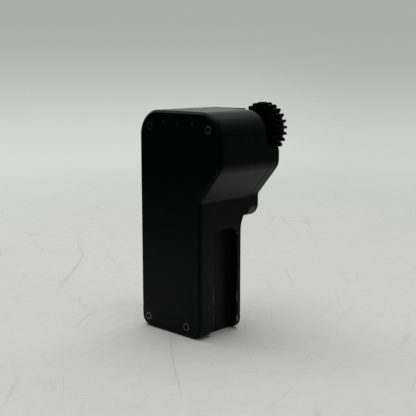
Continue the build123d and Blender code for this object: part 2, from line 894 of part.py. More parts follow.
# Motor: a can with a spigot, an end cap, a wound ring and a magnet on the shaft
motor_inner_radius = motor_radius - motor_can_wall
stator_front = rear_plate_rear + motor_face_thickness + rotor_end_gap
stator_rear = motor_rear_depth - motor_cap_thickness - rotor_end_gap
shaft_hole_radius = motor_shaft_radius + running_gap

with BuildPart() as motor_can:
    disc(motor_axis, rear_plate_rear, motor_rear_depth, motor_radius)
    bore(motor_axis, rear_plate_rear + motor_face_thickness, motor_rear_depth, motor_inner_radius)
    disc(motor_axis, rear_plate_rear - motor_spigot_length, rear_plate_rear, motor_spigot_radius)
    bore(
        motor_axis,
        rear_plate_rear - motor_spigot_length,
        rear_plate_rear + motor_face_thickness,
        shaft_hole_radius,
    )
    for place in motor_screw_places:
        bore(
            place,
            rear_plate_rear,
            rear_plate_rear + motor_face_thickness,
            screw_hole_radius(motor_screw),
        )

with BuildPart() as motor_end_cap:
    disc(
        motor_axis,
        motor_rear_depth - motor_cap_thickness,
        motor_rear_depth,
        motor_inner_radius - press_gap,
        shaft_hole_radius,
    )

with BuildPart() as motor_stator:
    disc(
        motor_axis, stator_front, stator_rear, motor_inner_radius - press_gap, stator_inner_radius
    )

with BuildPart() as motor_rotor:
    disc(
        motor_axis,
        stator_front,
        stator_rear,
        stator_inner_radius - rotor_air_gap,
        motor_shaft_radius + press_gap,
    )

with BuildPart() as motor_shaft:
    disc(motor_axis, first_layer_front, motor_rear_depth - motor_shaft_stub, motor_shaft_radius)

with BuildPart() as motor_pinion:
    gear(
        motor_axis,
        first_layer_front,
        first_layer_rear,
        motor_pinion_teeth,
        small_form,
        motor_pinion_turn,
    )
    bore(motor_axis, first_layer_front, first_layer_rear, motor_shaft_radius + press_gap)

with BuildPart() as encoder_magnet:
    disc(motor_axis, first_layer_front - magnet_thickness, first_layer_front, magnet_radius)

# Control board, cut out round the bosses and the slot's block
with BuildPart() as control_board:
    with BuildSketch(at_depth(board_rear_depth)):
        body_outline(0, foot_corner_radius)
        offset(amount=-(wall + board_edge_gap), mode=Mode.REPLACE)
        with Locations((grip_cavity_across - board_edge_gap, 0)):
            block_top = slot_block_height + board_edge_gap
            Rectangle(grip_width, block_top, align=Align.MIN, mode=Mode.SUBTRACT)
        with Locations(front_screw_places):
            Circle(boss_radius + board_edge_gap, mode=Mode.SUBTRACT)
        with Locations(board_screw_places):
            Circle(screw_hole_radius(board_screw), mode=Mode.SUBTRACT)
    extrude(amount=board_thickness)

control_board_screws = screws(
    board_screw_places, board_front_depth - board_screw.head_height, board_screw
)

with BuildPart() as indicator_leds:
    with BuildSketch(at_depth(board_front_depth)):
        with Locations(light_pipe_places):
            Rectangle(led_width, led_length)
    extrude(amount=led_height)


def chips(places, width, length, height):
    """Flat parts on the back of the control board."""
    with BuildPart() as parts_on_board:
        with BuildSketch(at_depth(board_rear_depth + height)):
            with Locations(places):
                Rectangle(width, length)
        extrude(amount=height)
    return parts_on_board


encoder_chip = chips([motor_axis], encoder_chip_width, encoder_chip_width, chip_height)
processor_chip = chips(
    [(board_middle, processor_height)], processor_width, processor_width, chip_height
)
driver_chip_spacing = driver_chip_width + driver_chip_gap
motor_driver_chips = chips(
    [(board_middle + step * driver_chip_spacing, driver_row_height) for step in (-1, 0, 1)],
    driver_chip_width,
    driver_chip_width,
    chip_height,
)

# Control socket on the back of the board, with its mouth in the left side
with BuildPart() as control_socket_shell:
    with BuildSketch(facing_right(socket_mouth_gap, *socket_place)):
        RectangleRounded(socket_height, socket_width, socket_corner_radius)
        offset(amount=-socket_shell, mode=Mode.SUBTRACT)
    extrude(amount=socket_length)
    with BuildSketch(facing_right(socket_mouth_gap + socket_length, *socket_place)):
        RectangleRounded(socket_height, socket_width, socket_corner_radius)
    extrude(amount=socket_shell)

with BuildPart() as control_socket_tongue:
    tongue_start = socket_mouth_gap + tongue_setback
    with BuildSketch(facing_right(tongue_start, *socket_place)):
        Rectangle(tongue_thickness, tongue_width)
    extrude(amount=socket_mouth_gap + socket_length - tongue_start)

# Motor leads, from the can's side down to their connector on the board
lead_exit_depth = grip_depth - wall - lead_wall_gap - lead_radius
lead_end_depth = board_rear_depth + connector_length
motor_connector = chips([connector_place], connector_width, connector_height, connector_length)

with BuildPart() as motor_leads:
    for step in range(lead_count):
        shift = (step - (lead_count - 1) / 2) * lead_spacing
        near_edge = max(abs(shift) - lead_radius, 0)
        lead_top = motor_axis[1] - sqrt(motor_radius**2 - near_edge**2) - lead_seat_gap
        lead_start = (lead_exit_depth, lead_top)
        lead_corner = (lead_exit_depth, connector_place[1])
        lead_end = (lead_end_depth, connector_place[1])
        lead_side = facing_right(motor_axis[0] + shift)
        with BuildLine(lead_side):
            FilletPolyline(lead_start, lead_corner, lead_end, radius=[lead_bend_radius])
        with BuildSketch(Plane(origin=lead_side.from_local_coords(lead_start), z_dir=-Plane.XY.z_dir)):
            Circle(lead_radius)
        sweep()

pieces = {
    "main_housing": main_housing,
    "front_cover": front_cover,
    "front_cover_screws": front_cover_screws,
    "indicator_light_pipes": indicator_light_pipes,
    "rear_cover": rear_cover,
    "rear_cover_screws": rear_cover_screws,
    "drive_gear": drive_gear,
    "drive_gear_washer": drive_gear_washer,
    "drive_gear_screw": drive_gear_screw,
    "output_shaft": output_shaft,
    "output_gear": output_gear,
    "output_front_bearing": output_front_bearing,
    "output_rear_bearing": output_rear_bearing,
    "second_reduction_gear": second_reduction_gear,
    "second_gear_axle": second_gear_axle,
    "first_reduction_gear": first_reduction_gear,
    "first_gear_axle": first_gear_axle,
    "gearbox_front_plate": gearbox_front_plate,
    "gearbox_rear_plate": gearbox_rear_plate,
    "gearbox_spacers": gearbox_spacers,
    "gearbox_screws": gearbox_screws,
    "motor_can": motor_can,
    "motor_end_cap": motor_end_cap,
    "motor_screws": motor_screws,
    "motor_stator": motor_stator,
    "motor_rotor": motor_rotor,
    "motor_shaft": motor_shaft,
    "motor_pinion": motor_pinion,
    "encoder_magnet": encoder_magnet,
    "control_board": control_board,
    "control_board_screws": control_board_screws,
    "indicator_leds": indicator_leds,
    "encoder_chip": encoder_chip,
    "processor_chip": processor_chip,
    "motor_driver_chips": motor_driver_chips,
    "motor_connector": motor_connector,
    "motor_leads": motor_leads,
    "control_socket_shell": control_socket_shell,
    "control_socket_tongue": control_socket_tongue,
}

os.makedirs("parts", exist_ok=True)
for name, piece in pieces.items():
    piece.part.label = name
    export_step(piece.part, f"parts/{name}.step")

for name, axis in (
    ("output", output_axis),
    ("second gear", second_axis),
    ("first gear", first_axis),
    ("motor", motor_axis),
):
    print(name, "axis at X", round(left_side + axis[0], 3), "Z", round(axis[1], 3))
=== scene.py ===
import json
import logging
from collections.abc import Callable, Iterator
from contextlib import contextmanager
from dataclasses import dataclass, replace
from enum import Enum
from math import cos, pi, radians, sin
from typing import NamedTuple

import bmesh
import bpy
from mathutils import Matrix, Vector


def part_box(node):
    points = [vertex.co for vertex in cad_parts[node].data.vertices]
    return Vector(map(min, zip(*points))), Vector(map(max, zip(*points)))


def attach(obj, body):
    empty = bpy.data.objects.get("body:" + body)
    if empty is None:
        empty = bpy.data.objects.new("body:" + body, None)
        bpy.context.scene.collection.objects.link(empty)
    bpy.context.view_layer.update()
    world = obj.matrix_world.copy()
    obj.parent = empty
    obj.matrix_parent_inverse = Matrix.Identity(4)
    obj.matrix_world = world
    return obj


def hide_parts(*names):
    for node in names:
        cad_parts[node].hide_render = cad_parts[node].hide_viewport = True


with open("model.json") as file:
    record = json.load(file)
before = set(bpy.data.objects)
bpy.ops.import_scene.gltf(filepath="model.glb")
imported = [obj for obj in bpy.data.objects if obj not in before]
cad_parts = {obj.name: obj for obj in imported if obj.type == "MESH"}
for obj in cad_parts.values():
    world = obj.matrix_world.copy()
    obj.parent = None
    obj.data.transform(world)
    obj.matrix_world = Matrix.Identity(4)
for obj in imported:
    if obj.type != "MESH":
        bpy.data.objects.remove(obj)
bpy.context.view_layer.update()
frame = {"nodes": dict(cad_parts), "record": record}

# The looks of a servo follow focus: a black anodised motor unit that turns a lens's focus ring.
# Lengths are written in millimetres and multiplied by MM, because Blender works in metres.

MM = 0.001
log = logging.getLogger("servo_follow_focus")

Piece = bpy.types.Object
Socket = bpy.types.NodeSocket
Triple = tuple[float, float, float]


class Elements(Enum):
    """What an edit of a mesh selects."""

    CORNERS = "VERT"
    EDGES = "EDGE"
    FACES = "FACE"


def mm(*lengths: float) -> tuple[float, ...]:
    """Turns lengths in millimetres into metres.

    Args:
        *lengths: The lengths in millimetres.

    Returns:
        The same lengths in metres.
    """
    return tuple(length * MM for length in lengths)


def pick_alone(piece: Piece) -> None:
    """Selects one piece, makes it active and deselects everything else.

    Args:
        piece: The piece that the next operators act on.
    """
    bpy.ops.object.select_all(action="DESELECT")
    piece.select_set(True)
    bpy.context.view_layer.objects.active = piece


@contextmanager
def editing(piece: Piece, elements: Elements = Elements.FACES) -> Iterator[None]:
    """Opens a piece for editing with nothing selected, and closes it again.

    Args:
        piece: The piece to edit.
        elements: What the edit selects.

    Yields:
        Nothing, while the piece is open.
    """
    pick_alone(piece)
    bpy.ops.object.mode_set(mode="EDIT")
    bpy.ops.mesh.select_mode(type=elements.value)
    bpy.ops.mesh.select_all(action="DESELECT")
    yield
    bpy.ops.object.mode_set(mode="OBJECT")


def select_faces_along(piece: Piece, upwards: bool) -> None:
    """Selects the level faces of a piece in edit mode, those that face up or those that face down.

    Args:
        piece: The piece being edited.
        upwards: Whether it selects those that face up.
    """
    level = 0.9
    mesh = bmesh.from_edit_mesh(piece.data)
    for face in mesh.faces:
        face.select_set(face.normal.z > level if upwards else face.normal.z < -level)
    bmesh.update_edit_mesh(piece.data)


def mark_faces(piece: Piece, attribute: str, test: Callable[[bmesh.types.BMFace], bool]) -> None:
    """Sets an attribute to 1 on some faces of a piece in edit mode.

    Args:
        piece: The piece being edited.
        attribute: Name of the attribute, which the finishes read.
        test: Says whether a face is marked.
    """
    mesh = bmesh.from_edit_mesh(piece.data)
    layers = mesh.faces.layers.float
    layer = layers.get(attribute) or layers.new(attribute)
    for face in mesh.faces:
        if test(face):
            face[layer] = 1.0
    bmesh.update_edit_mesh(piece.data)


def extrude(height: float, taper: float | None = None) -> None:
    """Extrudes the selected faces along Z in edit mode.

    Args:
        height: How far, in metres.
        taper: Width of the new end as a share of its start.
    """
    bpy.ops.mesh.extrude_region_move(TRANSFORM_OT_translate={"value": (0.0, 0.0, height)})
    if taper:
        bpy.ops.transform.resize(value=(taper, taper, 1.0))


def break_sharp_edges(piece: Piece, width: float, corner: float = 30.0) -> None:
    """Bevels the sharp edges of a piece and marks the bevels in its edge_break attribute.

    Args:
        piece: The piece to bevel.
        width: Width of the bevel in metres.
        corner: Smallest turn, in degrees, that counts as a sharp edge.
    """
    with editing(piece, Elements.EDGES):
        bpy.ops.mesh.edges_select_sharp(sharpness=radians(corner))
        bpy.ops.mesh.bevel(offset=width, segments=2, affect="EDGES", clamp_overlap=False)
        mark_faces(piece, "edge_break", lambda face: face.select)


def smooth(piece: Piece) -> None:
    """Shades a piece smooth, with normals that keep its large faces flat.

    Args:
        piece: The finished piece.
    """
    pick_alone(piece)
    bpy.ops.object.shade_smooth()
    bpy.ops.object.modifier_add(type="WEIGHTED_NORMAL")
    modifier = piece.modifiers[-1]
    modifier.weight = 100
    modifier.keep_sharp = False
    bpy.ops.object.modifier_apply(modifier=modifier.name)


def settle(piece: Piece, name: str) -> Piece:
    """Names a finished piece and puts its place into its mesh.

    Args:
        piece: The finished piece.
        name: Its name in plain words.

    Returns:
        The same piece, at the origin, unturned and unscaled.
    """
    pick_alone(piece)
    bpy.ops.object.transform_apply(location=True, rotation=True, scale=True)
    piece.name = name
    piece.data.name = name
    return piece


def add_cylinder(name: str, sides: int, radius: float, depth: float, middle: float = 0.0) -> Piece:
    """Adds an upright cylinder on the Z axis, as the start of a piece.

    Args:
        name: The cylinder's name.
        sides: Number of its sides.
        radius: Its radius in metres.
        depth: Its length in metres.
        middle: Height of its middle in metres.

    Returns:
        The cylinder.
    """
    bpy.ops.object.select_all(action="DESELECT")
    bpy.ops.mesh.primitive_cylinder_add(
        vertices=sides, radius=radius, depth=depth, location=(0.0, 0.0, middle)
    )
    return settle(bpy.context.object, name)


def copy_to(model: Piece, name: str, place: Matrix) -> Piece:
    """Copies a model to a place, with a mesh of its own.

    Args:
        model: What is copied.
        name: Name of the copy.
        place: Where the copy goes and how it is turned.

    Returns:
        The copy.
    """
    pick_alone(model)
    bpy.ops.object.duplicate(linked=False)
    piece = bpy.context.object
    piece.matrix_world = place
    return settle(piece, name)


def copy_of_node(node: str) -> Piece:
    """Copies a CAD node, with its loose triangles joined into whole faces.

    Args:
        node: Name of the CAD node.

    Returns:
        The copy, which rides on nothing yet.
    """
    piece = frame["nodes"][node].copy()
    piece.data = piece.data.copy()
    piece.parent = None
    for key in list(piece.keys()):
        del piece[key]
    piece.data.materials.clear()
    bpy.context.scene.collection.objects.link(piece)
    with editing(piece, Elements.CORNERS):
        bpy.ops.mesh.select_all(action="SELECT")
        bpy.ops.mesh.remove_doubles(threshold=0.002 * MM)
        bpy.ops.mesh.dissolve_limited(angle_limit=radians(0.4))
    return piece


class Span(NamedTuple):
    """A range of values and the range that it is mapped to."""

    low: float
    high: float
    to_low: float = 0.0
    to_high: float = 1.0


class NodeBench:
    """Adds shader nodes to one tree and links them."""

    def __init__(self, tree: bpy.types.NodeTree) -> None:
        """Starts on a tree.

        Args:
            tree: The tree of a material, a world or a node group.
        """
        self.tree = tree
        self.column = 0

    def add(self, kind: str, **settings: object) -> bpy.types.Node:
        """Adds a node and sets its properties.

        Args:
            kind: Blender's name of the node type.
            **settings: Properties of the node.

        Returns:
            The new node.
        """
        node = self.tree.nodes.new(kind)
        node.location = (200 * self.column, -220 * (self.column % 4))
        self.column += 1
        for key, value in settings.items():
            setattr(node, key, value)
        return node

    def feed(self, target: Socket, value: object) -> None:
        """Links a socket to an input, or sets the input to a plain value.

        Args:
            target: The input.
            value: A socket, a number, a colour or a vector.
        """
        if isinstance(value, bpy.types.NodeSocket):
            self.tree.links.new(value, target)
        else:
            target.default_value = value

    def feed_all(self, node: bpy.types.Node, values: dict[str | int, object]) -> bpy.types.Node:
        """Feeds several inputs of a node.

        Args:
            node: The node.
            values: What goes into its inputs, by name or number.

        Returns:
            The same node.
        """
        for key, value in values.items():
            self.feed(node.inputs[key], value)
        return node

    def math(self, operation: str, *values: object, clamp: bool = False) -> Socket:
        """Adds a Math node.

        Args:
            operation: Blender's name of the operation.
            *values: Its inputs in order, sockets or numbers.
            clamp: Whether the result is kept between 0 and 1.

        Returns:
            The result's socket.
        """
        node = self.add("ShaderNodeMath", operation=operation, use_clamp=clamp)
        return self.feed_all(node, dict(enumerate(values))).outputs[0]

    def vector_math(self, operation: str, *values: object, result: str = "Vector") -> Socket:
        """Adds a Vector Math node.

        Args:
            operation: Blender's name of the operation.
            *values: Its vector inputs in order, sockets or triples.
            result: Name of the output to give back.

        Returns:
            The result's socket.
        """
        node = self.add("ShaderNodeVectorMath", operation=operation)
        return self.feed_all(node, dict(enumerate(values))).outputs[result]

    def scaled(self, vector: object, factor: object) -> Socket:
        """Scales a vector or colour by one number.

        Args:
            vector: A socket or triple.
            factor: A socket or number.

        Returns:
            The scaled vector.
        """
        node = self.add("ShaderNodeVectorMath", operation="SCALE")
        return self.feed_all(node, {0: vector, "Scale": factor}).outputs["Vector"]

    def parts(self, vector: Socket) -> bpy.types.NodeOutputs:
        """Takes a vector apart.

        Args:
            vector: The vector.

        Returns:
            Its outputs X, Y and Z.
        """
        return self.feed_all(self.add("ShaderNodeSeparateXYZ"), {0: vector}).outputs

    def noise(
        self, place: Socket, scale: object, detail: float = 3.0, rough: float = 0.55
    ) -> Socket:
        """Adds a Noise Texture and gives its value back.

        Args:
            place: Coordinates of the pattern.
            scale: Size of the pattern, a number or a socket.
            detail: Number of finer layers.
            rough: Share of the finer layers.

        Returns:
            The noise's value.
        """
        values = {"Vector": place, "Scale": scale, "Detail": detail, "Roughness": rough}
        return self.feed_all(self.add("ShaderNodeTexNoise"), values).outputs["Fac"]

    def cells(self, place: Socket, scale: object, feature: str = "F1") -> bpy.types.Node:
        """Adds a Voronoi Texture.

        Args:
            place: Coordinates of the pattern.
            scale: Size of the pattern, a number or a socket.
            feature: Blender's name of what it measures.

        Returns:
            The node.
        """
        node = self.add("ShaderNodeTexVoronoi", feature=feature)
        return self.feed_all(node, {"Vector": place, "Scale": scale})

    def ramp(
        self, value: object, low: float, high: float, to_low: float = 0.0, to_high: float = 1.0
    ) -> Socket:
        """Maps a range of values to another, smoothly and within its ends.

        Args:
            value: The value to map.
            low: Start of the range it comes from.
            high: End of the range it comes from.
            to_low: Start of the range it goes to.
            to_high: End of the range it goes to.

        Returns:
            The mapped value.
        """
        node = self.add("ShaderNodeMapRange", interpolation_type="SMOOTHSTEP")
        values = {
            "Value": value,
            "From Min": low,
            "From Max": high,
            "To Min": to_low,
            "To Max": to_high,
        }
        return self.feed_all(node, values).outputs["Result"]

    def mix(self, share: object, first: object, second: object) -> Socket:
        """Mixes two colours.

        Args:
            share: How much of the second colour.
            first: Socket or colour.
            second: Socket or colour.

        Returns:
            The mixed colour.
        """
        node = self.add("ShaderNodeMix", data_type="RGBA")
        return self.feed_all(node, {"Factor": share, 6: first, 7: second}).outputs[2]

    def blend(self, share: object, first: object, second: object) -> Socket:
        """Mixes two numbers.

        Args:
            share: How much of the second number.
            first: Socket or number.
            second: Socket or number.

        Returns:
            The mixed number.
        """
        node = self.add("ShaderNodeMix", data_type="FLOAT")
        return self.feed_all(node, {"Factor": share, 2: first, 3: second}).outputs[0]


def rgba(colour: Triple, share: float = 1.0) -> tuple[float, float, float, float]:
    """Colour with full alpha.

    Args:
        colour: Its red, green and blue.
        share: Brightness as a share of that colour's.

    Returns:
        The colour for a shader's input.
    """
    return (*(share * part for part in colour), 1.0)


class Effect(Enum):
    """Effects that several finishes share, each a shader node group."""

    EDGE_WEAR = "edge_wear"
    SKIN_GRAIN = "skin_grain"
    SMUDGES = "smudges"
    FINE_SCRATCHES = "fine_scratches"
    DUST = "dust"
    CUTTER_LINES = "cutter_lines"
    WIRE_LAY = "wire_lay"
    TRACES = "traces"


class EffectShelf:
    """Builds each shared effect once, as a node group that a material can place."""

    def __init__(self) -> None:
        """Builds every effect's node group."""
        self.groups: dict[Effect, bpy.types.NodeTree] = {
            Effect.EDGE_WEAR: self._edge_wear(),
            Effect.SKIN_GRAIN: self._skin_grain(),
            Effect.SMUDGES: self._smudges(),
            Effect.FINE_SCRATCHES: self._fine_scratches(),
            Effect.DUST: self._dust(),
            Effect.CUTTER_LINES: self._cutter_lines(),
            Effect.WIRE_LAY: self._wire_lay(),
            Effect.TRACES: self._traces(),
        }

    @staticmethod
    def _group(effect: Effect, numbers: tuple[str, ...], outputs: tuple[str, ...]) -> tuple:
        """Starts a node group whose first input is the place on the piece.

        Args:
            effect: The effect that the group is for.
            numbers: Names of its further inputs, which are numbers.
            outputs: Names of its outputs, which are numbers too.

        Returns:
            The group's bench, its input sockets by name and its output node.
        """
        tree = bpy.data.node_groups.new(effect.value, "ShaderNodeTree")
        tree.interface.new_socket("Place", in_out="INPUT", socket_type="NodeSocketVector")
        for name in numbers:
            tree.interface.new_socket(name, in_out="INPUT", socket_type="NodeSocketFloat")
        for name in outputs:
            tree.interface.new_socket(name, in_out="OUTPUT", socket_type="NodeSocketFloat")
        bench = NodeBench(tree)
        start = bench.add("NodeGroupInput")
        end = bench.add("NodeGroupOutput")
        return bench, {socket.name: socket for socket in start.outputs}, end

    def _edge_wear(self) -> bpy.types.NodeTree:
        """Patches along the broken edges where the finish is rubbed off.

        Returns:
            The group, which gives the rubbed patches and the broken edges.
        """
        softness = 0.08
        bench, given, end = self._group(Effect.EDGE_WEAR, ("Scale", "Amount"), ("Mask", "Edge"))
        edge = bench.add("ShaderNodeAttribute", attribute_name="edge_break").outputs["Fac"]
        patches = bench.noise(given["Place"], given["Scale"], 4.0, 0.65)
        threshold = bench.math("SUBTRACT", 1.0, given["Amount"])
        rubbed = bench.ramp(bench.math("SUBTRACT", patches, threshold), 0.0, softness)
        mask = bench.math("MULTIPLY", edge, rubbed, clamp=True)
        bench.feed_all(end, {"Mask": mask, "Edge": edge})
        return bench.tree

    def _skin_grain(self) -> bpy.types.NodeTree:
        """Fine even grain of a blasted, moulded or cast skin.

        Returns:
            The group, which gives the grain's height and a broad cloudy tone.
        """
        broad_share = 0.04
        bench, given, end = self._group(Effect.SKIN_GRAIN, ("Scale",), ("Height", "Tone"))
        fine = bench.noise(given["Place"], given["Scale"], 2.0, 0.6)
        pits = bench.cells(given["Place"], given["Scale"]).outputs["Distance"]
        broad_scale = bench.math("MULTIPLY", given["Scale"], broad_share)
        tone = bench.ramp(bench.noise(given["Place"], broad_scale, 3.0, 0.5), 0.3, 0.7)
        bench.feed_all(end, {"Height": bench.math("ADD", fine, pits), "Tone": tone})
        return bench.tree

    def _smudges(self) -> bpy.types.NodeTree:
        """Soft cloudy marks that handling leaves in a satin finish.

        Returns:
            The group, which gives the marks.
        """
        bench, given, end = self._group(Effect.SMUDGES, ("Scale",), ("Mask",))
        clouds = bench.noise(given["Place"], given["Scale"], 5.0, 0.6)
        strokes = bench.add("ShaderNodeMapping")
        turned = {"Vector": given["Place"], "Rotation": (0.3, 0.5, 0.9), "Scale": (1.0, 1.0, 4.0)}
        bench.feed_all(strokes, turned)
        wiped = bench.noise(strokes.outputs["Vector"], given["Scale"], 3.0, 0.5)
        both = bench.math("MULTIPLY", bench.ramp(clouds, 0.38, 0.68), bench.ramp(wiped, 0.3, 0.7))
        bench.feed(end.inputs["Mask"], both)
        return bench.tree

    def _fine_scratches(self) -> bpy.types.NodeTree:
        """Two layers of hairline scratches that run roughly upright, broken up in patches.

        Returns:
            The group, which gives the scratches.
        """
        length_share, line_width, softness = 0.03, 0.012, 0.1
        bench, given, end = self._group(Effect.FINE_SCRATCHES, ("Scale", "Amount"), ("Mask",))
        lines: list[Socket] = []
        for turn in (0.5, -0.9):
            drawn_out = bench.add("ShaderNodeMapping")
            turned = {"Rotation": (turn, turn * 0.6, turn * 1.3), "Scale": (1.0, 1.0, length_share)}
            bench.feed_all(drawn_out, {"Vector": given["Place"], **turned})
            cells = bench.cells(drawn_out.outputs["Vector"], given["Scale"], "DISTANCE_TO_EDGE")
            lines.append(bench.ramp(cells.outputs["Distance"], 0.0, line_width, 1.0, 0.0))
        both = bench.math("MAXIMUM", *lines)
        patches = bench.noise(given["Place"], bench.math("MULTIPLY", given["Scale"], 0.5), 2.0, 0.5)
        threshold = bench.math("SUBTRACT", 1.0, given["Amount"])
        shown = bench.ramp(bench.math("SUBTRACT", patches, threshold), 0.0, softness)
        bench.feed(end.inputs["Mask"], bench.math("MULTIPLY", both, shown, clamp=True))
        return bench.tree

    def _dust(self) -> bpy.types.NodeTree:
        """Specks of dust, most of them on what faces up.

        Returns:
            The group, which gives the specks.
        """
        speck, speck_edge = 0.05, 0.12
        bench, given, end = self._group(Effect.DUST, ("Scale", "Amount"), ("Mask",))
        specks = bench.cells(given["Place"], given["Scale"])
        dots = bench.ramp(specks.outputs["Distance"], speck, speck_edge, 1.0, 0.0)
        chosen = bench.add("ShaderNodeSeparateColor")
        bench.feed(chosen.inputs["Color"], specks.outputs["Color"])
        few = bench.math("LESS_THAN", chosen.outputs["Red"], given["Amount"])
        up = bench.parts(bench.add("ShaderNodeNewGeometry").outputs["Normal"])["Z"]
        lying = bench.ramp(up, -0.2, 0.9, 0.15, 1.0)
        mask = bench.math("MULTIPLY", bench.math("MULTIPLY", dots, few), lying)
        bench.feed(end.inputs["Mask"], mask)
        return bench.tree

    def _cutter_lines(self) -> bpy.types.NodeTree:
        """Faint bands along the height that a milling cutter or a brush leaves.

        Returns:
            The group, which gives the bands' height and tone.
        """
        length_share, broad_share = 0.015, 0.12
        bench, given, end = self._group(Effect.CUTTER_LINES, ("Scale",), ("Height", "Tone"))
        drawn_out = bench.vector_math("MULTIPLY", given["Place"], (1.0, 1.0, length_share))
        fine = bench.noise(drawn_out, given["Scale"], 3.0, 0.6)
        broad_scale = bench.math("MULTIPLY", given["Scale"], broad_share)
        broad = bench.noise(drawn_out, broad_scale, 2.0, 0.5)
        height = bench.math("ADD", fine, broad)
        bench.feed_all(end, {"Height": height, "Tone": bench.ramp(fine, 0.3, 0.7)})
        return bench.tree

    def _wire_lay(self) -> bpy.types.NodeTree:
        """Turns of enamelled wire that lie side by side.

        Returns:
            The group, which gives the wire's height and tone.
        """
        wander_scale, tone_scale = 500.0, 1400.0
        bench, given, end = self._group(Effect.WIRE_LAY, ("Pitch",), ("Height", "Tone"))
        place, pitch = given["Place"], given["Pitch"]
        wander = bench.math("MULTIPLY", bench.noise(place, wander_scale, 2.0, 0.5), pitch)
        along = bench.math("ADD", bench.parts(place)["Y"], wander)
        angle = bench.math("DIVIDE", bench.math("MULTIPLY", along, 2 * pi), pitch)
        tone = bench.noise(place, tone_scale, 3.0, 0.5)
        bench.feed_all(end, {"Height": bench.math("SINE", angle), "Tone": tone})
        return bench.tree

    def _traces(self) -> bpy.types.NodeTree:
        """Runs of copper tracks and plated holes on a printed board that stands upright.

        Returns:
            The group, which gives the tracks and the holes.
        """
        track_share, empty_share, steps_to_run = 0.42, 0.55, 0.08
        hole_scale, hole_scatter, hole, hole_edge = 0.22, 0.6, 0.07, 0.09
        bench, given, end = self._group(Effect.TRACES, ("Pitch",), ("Track", "Hole"))
        scaled = bench.scaled(given["Place"], bench.math("DIVIDE", 1.0, given["Pitch"]))
        steps = bench.parts(scaled)
        tracks: list[Socket] = []
        for across, along in (("X", "Z"), ("Z", "X")):
            run = bench.add("ShaderNodeCombineXYZ")
            row = bench.math("FLOOR", steps[across])
            length = bench.math("FLOOR", bench.math("MULTIPLY", steps[along], steps_to_run))
            bench.feed_all(run, {"X": row, "Y": length})
            chance = bench.add("ShaderNodeTexWhiteNoise", noise_dimensions="2D")
            bench.feed(chance.inputs["Vector"], run.outputs["Vector"])
            line = bench.math("LESS_THAN", bench.math("FRACT", steps[across]), track_share)
            shown = bench.math("GREATER_THAN", chance.outputs["Value"], empty_share)
            tracks.append(bench.math("MULTIPLY", line, shown))
        holes = bench.cells(scaled, hole_scale)
        bench.feed(holes.inputs["Randomness"], hole_scatter)
        plated = bench.ramp(holes.outputs["Distance"], hole, hole_edge, 1.0, 0.0)
        bench.feed_all(end, {"Track": bench.math("MAXIMUM", *tracks), "Hole": plated})
        return bench.tree


class Coat:
    """A material in the making: its nodes, its shader and the coordinates on the piece."""

    def __init__(self, name: str, shelf: EffectShelf | None = None) -> None:
        """Starts a material with nodes.

        Args:
            name: The material's name.
            shelf: Where the shared effects are, if it uses any.
        """
        self.material = bpy.data.materials.new(name)
        self.material.use_nodes = True
        self.shelf = shelf
        self.bench = NodeBench(self.material.node_tree)
        self.shader = self.material.node_tree.nodes["Principled BSDF"]
        self.place = self.bench.add("ShaderNodeTexCoord").outputs["Object"]

    def effect(self, effect: Effect, **values: object) -> dict[str, Socket]:
        """Places a shared effect.

        Args:
            effect: Which effect.
            **values: Its inputs by name, apart from the place.

        Returns:
            Its outputs by name.
        """
        node = self.bench.add("ShaderNodeGroup", node_tree=self.shelf.groups[effect])
        self.bench.feed_all(node, {"Place": self.place, **values})
        return {output.name: output for output in node.outputs}

    def paint(self, **values: object) -> None:
        """Feeds the shader.

        Args:
            **values: Its inputs by name, with underscores for spaces.
        """
        for key, value in values.items():
            self.bench.feed(self.shader.inputs[key.replace("_", " ")], value)

    def raise_bumps(self, height: Socket, depth: float) -> None:
        """Feeds a height to the shader's normal.

        Args:
            height: The height, about 0 to 1.
            depth: What a height of 1 stands for, in metres.
        """
        bump = self.bench.add("ShaderNodeBump")
        self.bench.feed_all(bump, {"Strength": 1.0, "Distance": depth, "Height": height})
        self.paint(Normal=bump.outputs["Normal"])


class Finish:
    """A finish, which a material can be made of."""

    def material(self, name: str, shelf: EffectShelf) -> bpy.types.Material:
        """Makes the finish's material.

        Args:
            name: The material's name.
            shelf: Where the shared effects are.

        Returns:
            The finished material.
        """
        coat = Coat(name, shelf)
        self.lay(coat)
        return coat.material

    def lay(self, coat: Coat) -> None:
        """Lays the finish on a coat.

        Args:
            coat: The material in the making.
        """
        raise NotImplementedError


@dataclass(frozen=True)
class WornAndLitSpot:
    """A rubbed place or a painted lighter patch: its middle and its reach each way in metres, and if
    only edges are marked.
    """

    place: Triple
    reach: Triple
    strength: float = 1.0
    edges_only: bool = True
    rag_scale: float = 1500.0
    rag_reach: float = 0.9
    softness: float = 0.5

    def mask(self, coat: Coat, edge: Socket) -> Socket:
        """Mask of the place.

        Args:
            coat: The material in the making.
            edge: Mask of the broken edges.

        Returns:
            The mask.
        """
        bench, place = coat.bench, coat.place
        away = bench.vector_math("SUBTRACT", place, self.place)
        away = bench.vector_math("DIVIDE", away, self.reach)
        distance = bench.vector_math("LENGTH", away, result="Value")
        rags = bench.math("MULTIPLY", bench.noise(place, self.rag_scale), self.rag_reach)
        ragged = bench.math("ADD", distance, rags)
        mask = bench.ramp(ragged, 1.0, 1.0 + self.softness, self.strength, 0.0)
        return bench.math("MULTIPLY", mask, edge) if self.edges_only else mask


